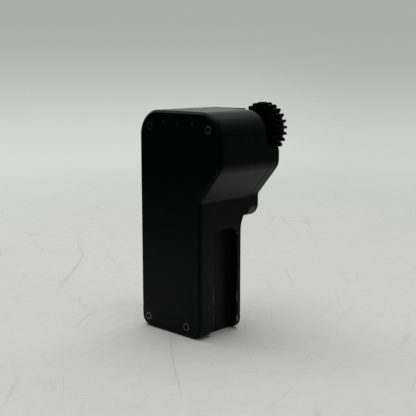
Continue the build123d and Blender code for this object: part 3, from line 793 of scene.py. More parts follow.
@dataclass(frozen=True)
class MetalSkin(Finish):
    """A metal's finish, from a dyed or blackened skin to bare metal, with an optional painted
    highlight along its broken edges.
    """

    colour: Triple
    tone: Triple
    roughness: float
    grain_scale: float
    grain_depth: float
    metallic: float = 1.0
    reflectivity: float = 0.5
    wear: float = 0.0
    # share of bare-metal colour painted along every broken edge as a highlight
    edge_highlight_share: float = 0.0
    wear_scale: float = 220.0
    # colour of the bare metal, also used for the painted highlights
    bare_and_highlight_colour: Triple = (0.55, 0.55, 0.56)
    under_roughness: float = 0.36
    smudge_scale: float = 70.0
    smudge_roughness: float = 0.07
    scratches: float = 0.0
    scratch_scale: float = 160.0
    scratch_strength: float = 0.03
    dust: float = 0.0
    dust_scale: float = 700.0
    dust_colour: Triple = (0.07, 0.067, 0.062)
    dust_roughness: float = 0.9
    cutter_depth: float = 0.0
    cutter_scale: float = 2600.0
    streak: Triple | None = None
    spots: tuple[WornAndLitSpot, ...] = ()
    shade_in_sockets: bool = False
    socket_shade_colour: Triple = (0.004, 0.004, 0.0035)
    socket_shade_roughness: float = 0.85

    def lay(self, coat: Coat) -> None:
        """Lays the skin, what wears it down to bare metal, the painted edge highlight and painted
        lighter patches, the dust on it, and painted shade in screw sockets.

        Args:
            coat: The material in the making.
        """
        bench = coat.bench
        grain = coat.effect(Effect.SKIN_GRAIN, Scale=self.grain_scale)
        skin = bench.mix(grain["Tone"], rgba(self.colour), rgba(self.tone))
        height = grain["Height"]
        if self.cutter_depth:
            drawn = coat.effect(Effect.CUTTER_LINES, Scale=self.cutter_scale)
            share = self.cutter_depth / self.grain_depth
            height = bench.math("ADD", height, bench.math("MULTIPLY", drawn["Height"], share))
            if self.streak:
                skin = bench.mix(bench.ramp(drawn["Tone"], 0.35, 1.0), skin, rgba(self.streak))
        smudges = coat.effect(Effect.SMUDGES, Scale=self.smudge_scale)["Mask"]
        rough = bench.blend(smudges, self.roughness, self.roughness + self.smudge_roughness)
        bare_and_highlight = self._bare_and_highlight(coat)
        colour = bench.mix(bare_and_highlight, skin, rgba(self.bare_and_highlight_colour))
        rough = bench.blend(bare_and_highlight, rough, self.under_roughness)
        metallic: object = self.metallic
        if self.metallic < 1.0:
            metallic = bench.blend(bare_and_highlight, self.metallic, 1.0)
        if self.dust:
            specks = coat.effect(Effect.DUST, Scale=self.dust_scale, Amount=self.dust)["Mask"]
            colour = bench.mix(specks, colour, rgba(self.dust_colour))
            rough = bench.blend(specks, rough, self.dust_roughness)
        # painted shade: the socket's faces are made almost black and matt
        if self.shade_in_sockets:
            socket_shade = bench.add("ShaderNodeAttribute", attribute_name="socket_shade").outputs["Fac"]
            colour = bench.mix(socket_shade, colour, rgba(self.socket_shade_colour))
            rough = bench.blend(socket_shade, rough, self.socket_shade_roughness)
        coat.paint(Base_Color=colour, Roughness=rough, Metallic=metallic)
        coat.paint(Specular_IOR_Level=self.reflectivity)
        coat.raise_bumps(height, self.grain_depth)

    def _bare_and_highlight(self, coat: Coat) -> Socket:
        """Mask of where the metal under the skin shows, joined with the painted highlight along the
        broken edges and any painted lighter patch.

        Args:
            coat: The material in the making.

        Returns:
            The mask.
        """
        bench = coat.bench
        wear = coat.effect(Effect.EDGE_WEAR, Scale=self.wear_scale, Amount=self.wear)
        # painted highlight: a thin line of bare-metal colour along every broken edge
        painted_edge_highlight = bench.math("MULTIPLY", wear["Edge"], self.edge_highlight_share)
        bare_and_highlight = bench.math("MAXIMUM", wear["Mask"], painted_edge_highlight)
        for spot in self.spots:
            bare_and_highlight = bench.math("MAXIMUM", bare_and_highlight, spot.mask(coat, wear["Edge"]))
        if self.scratches:
            sizes = {"Scale": self.scratch_scale, "Amount": self.scratches}
            lines = coat.effect(Effect.FINE_SCRATCHES, **sizes)["Mask"]
            lines = bench.math("MULTIPLY", lines, self.scratch_strength)
            bare_and_highlight = bench.math("MAXIMUM", bare_and_highlight, lines)
        return bare_and_highlight


@dataclass(frozen=True)
class MouldedSkin(Finish):
    """Finish of a moulded plastic, rubber or epoxy piece."""

    colour: Triple
    tone: Triple
    roughness: float
    grain_scale: float
    grain_depth: float
    edge_colour: Triple
    edge_share: float = 0.0
    reflectivity: float = 0.5
    wear: float = 0.62
    wear_scale: float = 300.0
    smudge_scale: float = 110.0
    smudge_roughness: float = 0.1

    def lay(self, coat: Coat) -> None:
        """Lays the moulded skin with its rubbed edges.

        Args:
            coat: The material in the making.
        """
        bench = coat.bench
        grain = coat.effect(Effect.SKIN_GRAIN, Scale=self.grain_scale)
        smudges = coat.effect(Effect.SMUDGES, Scale=self.smudge_scale)["Mask"]
        wear = coat.effect(Effect.EDGE_WEAR, Scale=self.wear_scale, Amount=self.wear)
        colour = bench.mix(grain["Tone"], rgba(self.colour), rgba(self.tone))
        rubbed = bench.math("MULTIPLY", wear["Mask"], self.edge_share)
        coat.paint(Base_Color=bench.mix(rubbed, colour, rgba(self.edge_colour)))
        smudged = self.roughness + self.smudge_roughness
        coat.paint(Roughness=bench.blend(smudges, self.roughness, smudged))
        coat.paint(Specular_IOR_Level=self.reflectivity)
        coat.raise_bumps(grain["Height"], self.grain_depth)


@dataclass(frozen=True)
class SmokedLens(Finish):
    """Finish of the smoked light pipes: almost black, with a gloss and faint cloudy depth."""

    colour: Triple = (0.004, 0.004, 0.0045)
    cloud: Triple = (0.009, 0.009, 0.01)
    roughness: float = 0.24
    smudge_roughness: float = 0.14
    reflectivity: float = 0.1
    grain_scale: float = 2500.0
    grain_depth: float = 0.0006 * MM
    smudge_scale: float = 600.0

    def lay(self, coat: Coat) -> None:
        """Lays the smoked gloss.

        Args:
            coat: The material in the making.
        """
        bench = coat.bench
        grain = coat.effect(Effect.SKIN_GRAIN, Scale=self.grain_scale)
        marks = coat.effect(Effect.SMUDGES, Scale=self.smudge_scale)["Mask"]
        coat.paint(Base_Color=bench.mix(grain["Tone"], rgba(self.colour), rgba(self.cloud)))
        smudged = self.roughness + self.smudge_roughness
        coat.paint(Roughness=bench.blend(marks, self.roughness, smudged))
        coat.paint(Specular_IOR_Level=self.reflectivity)
        coat.raise_bumps(grain["Height"], self.grain_depth)


@dataclass(frozen=True)
class WindingSkin(Finish):
    """Finish of the coils: copper wire under clear enamel, turn beside turn, with painted shade in the
    grooves between turns.
    """

    colour: Triple = (0.5, 0.17, 0.06)
    tone: Triple = (0.68, 0.27, 0.11)
    gap_shade_colour: Triple = (0.12, 0.035, 0.012)
    roughness: float = 0.24
    gap_roughness: float = 0.6
    enamel: float = 0.4
    pitch: float = 0.34 * MM
    depth: float = 0.05 * MM

    def lay(self, coat: Coat) -> None:
        """Lays the turns of wire and the painted shade between them.

        Args:
            coat: The material in the making.
        """
        bench = coat.bench
        wire = coat.effect(Effect.WIRE_LAY, Pitch=self.pitch)
        skin = bench.mix(wire["Tone"], rgba(self.colour), rgba(self.tone))
        # painted shade: the grooves between turns are darkened
        gap_shade = bench.ramp(wire["Height"], -1.0, -0.5, 1.0, 0.0)
        coat.paint(Base_Color=bench.mix(gap_shade, skin, rgba(self.gap_shade_colour)))
        coat.paint(Roughness=bench.blend(gap_shade, self.roughness, self.gap_roughness))
        coat.paint(Metallic=1.0, Coat_Weight=self.enamel)
        coat.raise_bumps(wire["Height"], self.depth)


@dataclass(frozen=True)
class BoardSkin(Finish):
    """Finish of the control board: green mask over copper tracks, with plated holes."""

    colour: Triple = (0.006, 0.045, 0.02)
    track_colour: Triple = (0.014, 0.1, 0.04)
    plating: Triple = (0.7, 0.5, 0.2)
    roughness: float = 0.24
    tone_roughness: float = 0.34
    grain_scale: float = 1500.0
    pitch: float = 0.5 * MM
    depth: float = 0.03 * MM

    def lay(self, coat: Coat) -> None:
        """Lays the board's mask, tracks and holes.

        Args:
            coat: The material in the making.
        """
        bench = coat.bench
        pattern = coat.effect(Effect.TRACES, Pitch=self.pitch)
        grain = coat.effect(Effect.SKIN_GRAIN, Scale=self.grain_scale)
        mask = bench.mix(pattern["Track"], rgba(self.colour), rgba(self.track_colour))
        coat.paint(Base_Color=bench.mix(pattern["Hole"], mask, rgba(self.plating)))
        rough = bench.blend(grain["Tone"], self.roughness, self.tone_roughness)
        coat.paint(Metallic=pattern["Hole"], Roughness=rough)
        height = bench.math("SUBTRACT", pattern["Track"], pattern["Hole"])
        coat.raise_bumps(height, self.depth)


@dataclass(frozen=True)
class ContactSkin(Finish):
    """Finish of the socket's tongue: black plastic with gilt contacts side by side."""

    plastic: Triple = (0.012, 0.012, 0.013)
    plastic_roughness: float = 0.5
    gilding: Triple = (0.85, 0.6, 0.25)
    gilding_roughness: float = 0.25
    pitch: float = 0.5 * MM
    contact_share: float = 0.5
    contact_start: float = 0.4 * MM
    row_half: float = 2.05 * MM
    depth: float = 0.02 * MM
    grain_scale: float = 4000.0
    grain_share: float = 0.1

    def lay(self, coat: Coat) -> None:
        """Lays the plastic and its row of contacts.

        Args:
            coat: The material in the making.
        """
        bench = coat.bench
        low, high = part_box("control_socket_tongue")
        place = bench.parts(coat.place)
        steps = bench.math("DIVIDE", bench.math("SUBTRACT", place["Z"], low.z), self.pitch)
        in_step = bench.math("SUBTRACT", bench.math("FRACT", steps), 0.5)
        off_middle = bench.math("ABSOLUTE", in_step)
        strip = bench.math("LESS_THAN", off_middle, self.contact_share / 2)
        inside = bench.math("GREATER_THAN", place["X"], low.x + self.contact_start)
        from_middle = bench.math("SUBTRACT", place["Z"], (low.z + high.z) / 2)
        row = bench.math("LESS_THAN", bench.math("ABSOLUTE", from_middle), self.row_half)
        contact = bench.math("MULTIPLY", bench.math("MULTIPLY", strip, inside), row)
        grain = coat.effect(Effect.SKIN_GRAIN, Scale=self.grain_scale)
        coat.paint(Base_Color=bench.mix(contact, rgba(self.plastic), rgba(self.gilding)))
        rough = bench.blend(contact, self.plastic_roughness, self.gilding_roughness)
        coat.paint(Metallic=contact, Roughness=rough)
        grained = bench.math("MULTIPLY", grain["Height"], self.grain_share)
        height = bench.math("ADD", contact, grained)
        coat.raise_bumps(height, self.depth)


class Slot(Enum):
    """The record's material slots."""

    BLACK_ANODISED = "black_anodised"
    COVER_ANODISED = "cover_anodised"
    BLACK_STEEL = "black_steel"
    BARE_STEEL = "bare_steel"
    GEAR_PLASTIC = "gear_plastic"
    GEAR_BRASS = "gear_brass"
    LIGHT_PIPE = "light_pipe"
    GEARBOX_PLATE = "gearbox_plate"
    COPPER_WINDING = "copper_winding"
    MAGNET = "magnet"
    BOARD = "board"
    CHIP = "chip"
    LED = "led"
    SOCKET_STEEL = "socket_steel"
    LEAD_INSULATION = "lead_insulation"


class FinishRack:
    """Holds one finished material for each of the record's slots, and a few for single pieces, among
    them darker copies of the black steel that paint shade on the two upper front screws.
    """

    def __init__(self, shelf: EffectShelf) -> None:
        """Makes all the materials.

        Args:
            shelf: Where the shared effects are.
        """
        finishes = self._finishes()
        self.materials: dict[Slot, bpy.types.Material] = {
            slot: finish.material(slot.value, shelf) for slot, finish in finishes.items()
        }
        black_steel = finishes[Slot.BLACK_STEEL]
        # painted shade: darker copies of the black steel, the second also warmer, for the two upper
        # front screws
        self.shaded_steel = replace(
            black_steel,
            colour=(0.022, 0.022, 0.023),
            tone=(0.04, 0.04, 0.04),
            roughness=0.42,
            wear=0.4,
            bare_and_highlight_colour=(0.08, 0.078, 0.074),
        ).material("shaded_black_steel", shelf)
        self.shaded_warm_steel = replace(
            black_steel,
            colour=(0.06, 0.053, 0.03),
            tone=(0.1, 0.088, 0.052),
            roughness=0.4,
            bare_and_highlight_colour=(0.16, 0.14, 0.09),
        ).material("shaded_warm_black_steel", shelf)
        self.contacts = ContactSkin().material("socket_contacts", shelf)

    def __getitem__(self, slot: Slot) -> bpy.types.Material:
        """Gives a slot's material.

        Args:
            slot: The record's material slot.

        Returns:
            Its material.
        """
        return self.materials[slot]

    @staticmethod
    def _finishes() -> dict[Slot, Finish]:
        """Lists the finish of every slot.

        Returns:
            The finishes by slot.
        """
        return {
            Slot.BLACK_ANODISED: MetalSkin(
                colour=(0.0001, 0.0011, 0.0009),
                tone=(0.0003, 0.0015, 0.0012),
                roughness=0.4,
                grain_scale=5200.0,
                grain_depth=0.0035 * MM,
                metallic=0.0,
                reflectivity=0.115,
                wear=0.27,
                # painted highlight along every broken edge of the housing and rear plate
                edge_highlight_share=0.006,
                scratches=0.3,
                dust=0.02,
                cutter_depth=0.004 * MM,
                cutter_scale=900.0,
                streak=(0.0016, 0.0026, 0.0022),
                spots=worn_and_lit_places(),
            ),
            Slot.COVER_ANODISED: MetalSkin(
                colour=(0.0001, 0.0009, 0.0008),
                tone=(0.0001, 0.0014, 0.0013),
                roughness=0.3,
                grain_scale=6500.0,
                grain_depth=0.0025 * MM,
                metallic=0.0,
                reflectivity=0.066,
                wear=0.26,
                # painted highlight along every broken edge of the front plate
                edge_highlight_share=0.006,
                scratches=0.3,
                dust=0.015,
            ),
            Slot.BLACK_STEEL: MetalSkin(
                colour=(0.075, 0.073, 0.068),
                tone=(0.125, 0.121, 0.11),
                roughness=0.36,
                grain_scale=6000.0,
                grain_depth=0.002 * MM,
                wear=0.5,
                wear_scale=900.0,
                bare_and_highlight_colour=(0.26, 0.25, 0.23),
                # painted shade inside the screws' sockets
                shade_in_sockets=True,
            ),
            Slot.BARE_STEEL: MetalSkin(
                colour=(0.5, 0.5, 0.51),
                tone=(0.58, 0.58, 0.58),
                roughness=0.28,
                grain_scale=4000.0,
                grain_depth=0.002 * MM,
                scratches=0.5,
                scratch_strength=0.3,
                bare_and_highlight_colour=(0.36, 0.36, 0.37),
            ),
            Slot.GEAR_PLASTIC: MouldedSkin(
                colour=(0.0001, 0.0001, 0.0001),
                tone=(0.0003, 0.0003, 0.0003),
                roughness=0.36,
                grain_scale=3500.0,
                grain_depth=0.004 * MM,
                edge_colour=(0.016, 0.016, 0.0165),
                edge_share=0.5,
                reflectivity=0.045,
            ),
            Slot.GEAR_BRASS: MetalSkin(
                colour=(0.6, 0.4, 0.15),
                tone=(0.7, 0.5, 0.22),
                roughness=0.26,
                grain_scale=3000.0,
                grain_depth=0.003 * MM,
                scratches=0.5,
                scratch_strength=0.3,
                bare_and_highlight_colour=(0.42, 0.26, 0.09),
            ),
            Slot.LIGHT_PIPE: SmokedLens(),
            Slot.GEARBOX_PLATE: MetalSkin(
                colour=(0.52, 0.52, 0.53),
                tone=(0.62, 0.62, 0.63),
                roughness=0.38,
                grain_scale=3500.0,
                grain_depth=0.003 * MM,
                scratches=0.45,
                scratch_strength=0.2,
                cutter_depth=0.004 * MM,
                bare_and_highlight_colour=(0.4, 0.4, 0.41),
            ),
            Slot.COPPER_WINDING: WindingSkin(),
            Slot.MAGNET: MetalSkin(
                colour=(0.36, 0.35, 0.33),
                tone=(0.44, 0.43, 0.4),
                roughness=0.22,
                grain_scale=2600.0,
                grain_depth=0.0025 * MM,
                scratches=0.4,
                scratch_strength=0.25,
                bare_and_highlight_colour=(0.2, 0.2, 0.2),
            ),
            Slot.BOARD: BoardSkin(),
            Slot.CHIP: MouldedSkin(
                colour=(0.016, 0.016, 0.017),
                tone=(0.024, 0.024, 0.024),
                roughness=0.5,
                grain_scale=5200.0,
                grain_depth=0.006 * MM,
                edge_colour=(0.06, 0.06, 0.06),
                edge_share=0.2,
                reflectivity=0.4,
            ),
            Slot.LED: MouldedSkin(
                colour=(0.7, 0.68, 0.6),
                tone=(0.8, 0.78, 0.7),
                roughness=0.4,
                grain_scale=3200.0,
                grain_depth=0.003 * MM,
                edge_colour=(0.6, 0.5, 0.3),
                edge_share=0.3,
            ),
            Slot.SOCKET_STEEL: MetalSkin(
                colour=(0.48, 0.48, 0.49),
                tone=(0.58, 0.58, 0.59),
                roughness=0.26,
                grain_scale=5000.0,
                grain_depth=0.0015 * MM,
                scratches=0.5,
                scratch_strength=0.3,
                cutter_depth=0.002 * MM,
                bare_and_highlight_colour=(0.32, 0.32, 0.33),
            ),
            Slot.LEAD_INSULATION: MouldedSkin(
                colour=(0.3, 0.02, 0.015),
                tone=(0.38, 0.035, 0.025),
                roughness=0.45,
                grain_scale=2400.0,
                grain_depth=0.006 * MM,
                edge_colour=(0.5, 0.1, 0.08),
            ),
        }


def worn_and_lit_places() -> tuple[WornAndLitSpot, ...]:
    """Where use has rubbed the housing round the mounting slot's mouth, and a faint painted highlight
    on the housing under the rear plate.

    Returns:
        The rubbed places and the painted highlight.
    """
    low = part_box("main_housing")[0]
    mouth_x = low.x + 33.3 * MM
    mouth_front = low.y + 5.8 * MM
    mouth_rear = low.y + 19.3 * MM
    behind_mouth = mouth_rear + 0.15 * MM
    return (
        WornAndLitSpot((mouth_x, mouth_front, 17.2 * MM), mm(1.0, 0.5, 4.6), 0.8),
        WornAndLitSpot((mouth_x, mouth_front, 5.0 * MM), mm(1.0, 0.5, 4.2), 0.3),
        WornAndLitSpot((mouth_x, mouth_rear, 13.9 * MM), mm(0.4, 0.4, 2.6), 0.35),
        WornAndLitSpot((mouth_x, behind_mouth, 4.4 * MM), mm(0.5, 0.3, 1.6), 0.5, edges_only=False),
        # painted highlight: a faint lighter patch of bare-metal colour on the whole face under the
        # rear plate
        WornAndLitSpot(mm(10.4, 11.8, 47.9), mm(1.5, 3.0, 1.4), 0.07, edges_only=False),
    )


def dress(piece: Piece, material: bpy.types.Material) -> None:
    """Gives a piece one material all over.

    Args:
        piece: A new piece or a CAD node.
        material: Its finish.
    """
    if piece.data.materials:
        for slot in piece.material_slots:
            slot.material = material
    else:
        piece.data.materials.append(material)


def hand_over(piece: Piece, node: str, body: str, material: bpy.types.Material) -> None:
    """Dresses a finished piece, and lets it ride on a body and stand for a CAD node.

    Args:
        piece: The finished piece.
        node: The CAD node that it replaces.
        body: The CAD body that it rides on.
        material: Its finish.
    """
    dress(piece, material)
    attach(piece, body)
    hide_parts(node)
    log.info("%s: %d faces, rides on %s", piece.name, len(piece.data.polygons), body)


def refine_node(
    node: str,
    name: str,
    body: str,
    edge: float,
    material: bpy.types.Material,
    shaping: Callable[[Piece], None] | None = None,
) -> None:
    """Replaces a CAD node by a copy of it whose sharp edges are broken.

    Args:
        node: The CAD node.
        name: The new piece's name.
        body: The CAD body that it rides on.
        edge: Width of the broken edges in metres.
        material: Its finish.
        shaping: What else is done to the copy before its edges are broken.
    """
    piece = settle(copy_of_node(node), name)
    if shaping:
        shaping(piece)
    break_sharp_edges(piece, edge)
    smooth(piece)
    hand_over(piece, node, body, material)


@dataclass
class Casing:
    """The milled housing and its front and rear plates, with all their edges broken."""

    rack: FinishRack
    housing_edge: float = 0.12 * MM
    cover_edge: float = 0.1 * MM
    gear_relief_drop: float = 8.6 * MM
    gear_relief_start: float = 6.9 * MM
    gear_relief_rise: float = 0.95 * MM
    tolerance: float = 0.05 * MM

    def build(self) -> None:
        """Makes the three pieces of the casing."""
        black, cover = Slot.BLACK_ANODISED, Slot.COVER_ANODISED
        for node, name, edge, slot, shaping in (
            ("main_housing", "milled_housing", self.housing_edge, black, None),
            ("front_cover", "front_plate", self.cover_edge, cover, None),
            ("rear_cover", "rear_plate", self.cover_edge, black, self._raise_relief),
        ):
            refine_node(node, name, "housing", edge, self.rack[slot], shaping)

    def _raise_relief(self, plate: Piece) -> None:
        """Tilts the rear plate's edge below the gear, so that it rises to the right.

        Args:
            plate: The copy of the rear plate.
        """
        gear_low, gear_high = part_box("drive_gear")
        axis = (gear_low + gear_high) / 2
        right = max(corner[0] for corner in plate.bound_box)
        start = axis.x + self.gear_relief_start
        with editing(plate, Elements.CORNERS):
            mesh = bmesh.from_edit_mesh(plate.data)
            for corner in mesh.verts:
                off_edge = abs(corner.co.z - (axis.z - self.gear_relief_drop))
                if off_edge < self.tolerance and corner.co.x > start:
                    share = (corner.co.x - start) / (right - start)
                    corner.co.z += self.gear_relief_rise * share
            bmesh.update_edit_mesh(plate.data)


@dataclass(frozen=True)
class ScrewPattern:
    """Sizes in metres of a socket-head screw, by default one that holds a plate."""

    length: float
    head_radius: float = 1.56 * MM
    head_height: float = 1.6 * MM
    socket_across: float = 1.75 * MM
    socket_depth: float = 0.95 * MM
    thread_radius: float = 0.79 * MM
    edge: float = 0.12 * MM
    rim_edge: float = 0.06 * MM
    tip_taper: float = 0.7
    drill_taper: float = 0.05
    drill_share: float = 0.2
    # reach of the painted shade inside the socket, and the rim it leaves unshaded
    socket_shade_reach: float = 0.6
    unshaded_rim_share: float = 0.2
    sides: int = 48

    def model(self) -> Piece:
        """Models the screw upright at the origin, with the top of its head at height 0.

        Returns:
            The screw.
        """
        middle = -self.head_height / 2
        screw = add_cylinder("screw_model", self.sides, self.head_radius, self.head_height, middle)
        with editing(screw):
            select_faces_along(screw, upwards=True)
            bpy.ops.mesh.bevel(offset=self.edge, segments=3, affect="EDGES")
        with editing(screw):
            select_faces_along(screw, upwards=False)
            bpy.ops.mesh.inset(thickness=self.head_radius - self.thread_radius)
            extrude(-self.length + 2 * self.edge)
            extrude(-self.edge * 2, self.tip_taper)
        self._cut_socket(screw)
        with editing(screw):
            # marks the socket's faces for the painted shade
            mark_faces(screw, "socket_shade", self._is_in_socket)
        break_sharp_edges(screw, self.rim_edge, corner=40.0)
        return screw

    def _is_in_socket(self, face: bmesh.types.BMFace) -> bool:
        """Says whether a face is inside the socket, where shade is painted.

        Args:
            face: A face of the screw.

        Returns:
            Whether it is inside.
        """
        middle = face.calc_center_median()
        in_reach = Vector((middle.x, middle.y)).length < self.socket_shade_reach * self.socket_across
        return in_reach and -self.head_height < middle.z < -self.unshaded_rim_share * self.rim_edge

    def _cut_socket(self, screw: Piece) -> None:
        """Cuts the hexagonal socket with its drilled, pointed floor.

        Args:
            screw: The screw without its socket.
        """
        radius = self.socket_across / 2 / cos(pi / 6)
        cutter = add_cylinder("socket_cutter", 6, radius, 2 * self.socket_depth)
        with editing(cutter):
            select_faces_along(cutter, upwards=False)
            extrude(-self.drill_share * self.socket_across, self.drill_taper)
        pick_alone(screw)
        bpy.ops.object.modifier_add(type="BOOLEAN")
        cut = screw.modifiers[-1]
        cut.object = cutter
        cut.operation = "DIFFERENCE"
        cut.solver = "EXACT"
        bpy.ops.object.modifier_apply(modifier=cut.name)
        bpy.data.objects.remove(cutter)


@dataclass(frozen=True)
class ScrewSet:
    """A set of equal screws: the CAD node that they stand for, and where their heads are."""

    node: str
    name: str
    body: str
    places: tuple[tuple[float, float], ...]
    face: float
    from_rear: bool


@dataclass
class Fasteners:
    """The screws that show, each with its own turn."""

    rack: FinishRack
    front_screw: ScrewPattern = ScrewPattern(length=6.0 * MM)
    rear_screw: ScrewPattern = ScrewPattern(length=5.0 * MM)
    gear_screw: ScrewPattern = ScrewPattern(
        length=6.0 * MM,
        head_radius=1.8 * MM,
        head_height=1.3 * MM,
        socket_across=1.5 * MM,
        socket_depth=0.7 * MM,
        thread_radius=0.99 * MM,
    )
    top_inset: float = 6.0 * MM
    top_drop: float = 6.4 * MM
    foot_inset: float = 4.2 * MM
    slot_side: float = 26.0 * MM
    low_rear_left: tuple[float, float] = mm(5.2, 51.31)
    low_rear_right: tuple[float, float] = mm(28.1, 51.31)
    below_gear: tuple[float, float] = mm(38.22, 66.4)
    first_turn: float = 17.0
    next_turn: float = 47.0

    def build(self) -> None:
        """Models each kind of screw once and copies it to its places."""
        low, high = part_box("front_cover")
        top_left = (low.x + self.top_inset, high.z - self.top_drop)
        front_places = (
            top_left,
            (high.x - self.top_inset, high.z - self.top_drop),
            (low.x + self.foot_inset, low.z + self.foot_inset),
            (low.x + self.slot_side, low.z + self.foot_inset),
        )
        rear_places = (
            top_left,
            (low.x + self.low_rear_left[0], self.low_rear_left[1]),
            (low.x + self.low_rear_right[0], self.low_rear_right[1]),
            (low.x + self.below_gear[0], self.below_gear[1]),
        )
        rear_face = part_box("rear_cover")[1].y
        screw_low, screw_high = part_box("drive_gear_screw")
        axis = (screw_low + screw_high) / 2
        on_axis = ((axis.x, axis.z),)
        front, rear, gear = (
            ScrewSet("front_cover_screws", "front_plate_screw", "housing", front_places, low.y, False),
            ScrewSet("rear_cover_screws", "rear_plate_screw", "housing", rear_places, rear_face, True),
            ScrewSet("drive_gear_screw", "gear_screw", "drive", on_axis, screw_high.y, True),
        )
        self._place(front, self.front_screw)
        self._place(rear, self.rear_screw)
        self._place(gear, self.gear_screw)

    def _place(self, screws: ScrewSet, pattern: ScrewPattern) -> None:
        """Copies a screw to every place of a set.

        Args:
            screws: Where the screws go.
            pattern: The screw's sizes.
        """
        model = pattern.model()
        lean = Matrix.Rotation(radians(-90 if screws.from_rear else 90), 4, "X")
        # the two upper front screws get the darker copies, as painted shade
        upper_front = (self.rack.shaded_steel, self.rack.shaded_warm_steel)
        for number, (x, z) in enumerate(screws.places):
            turn = Matrix.Rotation(radians(self.first_turn + self.next_turn * number), 4, "Z")
            place = Matrix.Translation((x, screws.face, z)) @ lean @ turn
            screw = copy_to(model, f"{screws.name}_{number + 1}", place)
            smooth(screw)
            skin = self.rack[Slot.BLACK_STEEL]
            if screws.node == "front_cover_screws" and number < len(upper_front):
                skin = upper_front[number]
            hand_over(screw, screws.node, screws.body, skin)
        bpy.data.objects.remove(model)


@dataclass
class IndicatorLights:
    """Three smoked light pipes along the front plate's upper edge."""

    rack: FinishRack
    radius: float = 0.585 * MM
    dome: float = 0.05 * MM
    dome_rise: tuple[float, ...] = (0.5, 0.3, 0.2)
    dome_ring: float = 0.24
    rim_edge: float = 0.03 * MM
    spacing: float = 7.8 * MM
    count: int = 3
    sides: int = 24

    def build(self) -> None:
        """Models one light pipe and copies it to its three places."""
        low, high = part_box("indicator_light_pipes")
        middle = (low + high) / 2
        length = high.y - low.y
        model = add_cylinder("light_pipe_model", self.sides, self.radius, length - self.dome)
        with editing(model):
            select_faces_along(model, upwards=True)
            for share in self.dome_rise:
                bpy.ops.mesh.inset(thickness=self.radius * self.dome_ring)
                bpy.ops.transform.translate(value=(0.0, 0.0, self.dome * share))
        slot = Slot.LIGHT_PIPE
        for number in range(self.count):
            across = middle.x + (number - 1) * self.spacing
            place = Matrix.Translation((across, middle.y + self.dome / 2, middle.z))
            lens = copy_to(
                model, f"light_pipe_{number + 1}", place @ Matrix.Rotation(radians(90), 4, "X")
            )
            break_sharp_edges(lens, self.rim_edge, corner=40.0)
            smooth(lens)
            hand_over(lens, "indicator_light_pipes", "housing", self.rack[slot])
        bpy.data.objects.remove(model)


@dataclass
class FocusDrive:
    """The toothed wheel that turns the lens's ring, and its washer."""

    rack: FinishRack
    tooth_edge: float = 0.09 * MM
    washer_edge: float = 0.08 * MM

    def build(self) -> None:
        """Makes the wheel and its washer."""
        for node, name, edge, slot in (
            ("drive_gear", "focus_gear", self.tooth_edge, Slot.GEAR_PLASTIC),
            ("drive_gear_washer", "gear_washer", self.washer_edge, Slot.BARE_STEEL),
        ):
            refine_node(node, name, "drive", edge, self.rack[slot])


@dataclass
class ControlSocket:
    """The socket in the left side: a drawn steel shell round a tongue with contacts."""

    rack: FinishRack
    shell_edge: float = 0.06 * MM
    tongue_edge: float = 0.05 * MM

    def build(self) -> None:
        """Makes the shell and the tongue."""
        steel, contacts = self.rack[Slot.SOCKET_STEEL], self.rack.contacts
        for node, name, edge, slot, material in (
            ("control_socket_shell", "socket_shell", self.shell_edge, Slot.SOCKET_STEEL, steel),
            ("control_socket_tongue", "socket_tongue", self.tongue_edge, Slot.CHIP, contacts),
        ):
            refine_node(node, name, "housing", edge, material)


@dataclass
class InnerWorks:
    """The gearbox, the motor and the control board, which keep their CAD shapes."""

    rack: FinishRack

    def build(self) -> None:
        """Dresses every CAD node that no piece stands for."""
        slots = {row["node"]: Slot(row["material_slot"]) for row in frame["record"]["subparts"]}
        for name, node in frame["nodes"].items():
            if not node.hide_render:
                dress(node, self.rack[slots[name]])
                log.info("%s: %s", name, slots[name].value)


@dataclass(frozen=True)
class PhotoCamera:
    """The camera as fitted to the photograph: degrees, metres and pixels of the photograph."""

    azimuth: float = 44.109
    elevation: float = 9.642
    distance: float = 330.4 * MM
    aim: Triple = mm(1.159, -4.1, 49.22)
    focal_pixels: float = 834.18
    image_pixels: float = 416.0
    sensor_width: float = 36.0
    nearest: float = 0.01
    farthest: float = 20.0

    def build(self) -> None:
        """Places the camera and makes it the scene's."""
        around, above = radians(self.azimuth), radians(self.elevation)
        back = Vector((sin(around) * cos(above), -cos(around) * cos(above), sin(above)))
        data = bpy.data.cameras.new("photo_camera")
        data.sensor_width = self.sensor_width
        data.lens = self.focal_pixels * self.sensor_width / self.image_pixels
        data.clip_start = self.nearest
        data.clip_end = self.farthest
        camera = bpy.data.objects.new("photo_camera", data)
        bpy.context.scene.collection.objects.link(camera)
        camera.location = Vector(self.aim) + back * self.distance
        camera.rotation_mode = "QUATERNION"
        camera.rotation_quaternion = (-back).to_track_quat("-Z", "Y")
        bpy.context.scene.camera = camera

    def away(self) -> Vector:
        """Level direction in which the camera looks, towards the backdrop."""
        around = radians(self.azimuth)
        return Vector((-sin(around), cos(around), 0.0))

    def right(self) -> Vector:
        """Level direction that is to the right for the camera."""
        away = self.away()
        return Vector((away.y, -away.x, 0.0))


@dataclass(frozen=True)
class Softbox:
    """A soft rectangular lamp that faces a point: metres and watts."""

    name: str
    place: Triple
    size: tuple[float, float]
    power: float
    target: Triple = (0.0, 0.0, 0.0)

    def build(self) -> None:
        """Hangs the lamp."""
        data = bpy.data.lights.new(self.name, "AREA")
        data.shape = "RECTANGLE"
        data.size, data.size_y = self.size
        data.energy = self.power
        lamp = bpy.data.objects.new(self.name, data)
        bpy.context.scene.collection.objects.link(lamp)
        lamp.location = self.place
        facing = Vector(self.target) - Vector(self.place)
        lamp.rotation_mode = "QUATERNION"
        lamp.rotation_quaternion = facing.to_track_quat("-Z", "Y")


class HairLayer(NamedTuple):
    """A layer of hair-thin scuffs: its turn in degrees, how drawn out, fine, wide and dark."""

    turn: float
    stretch: float
    scale: float
    width: float
    strength: float


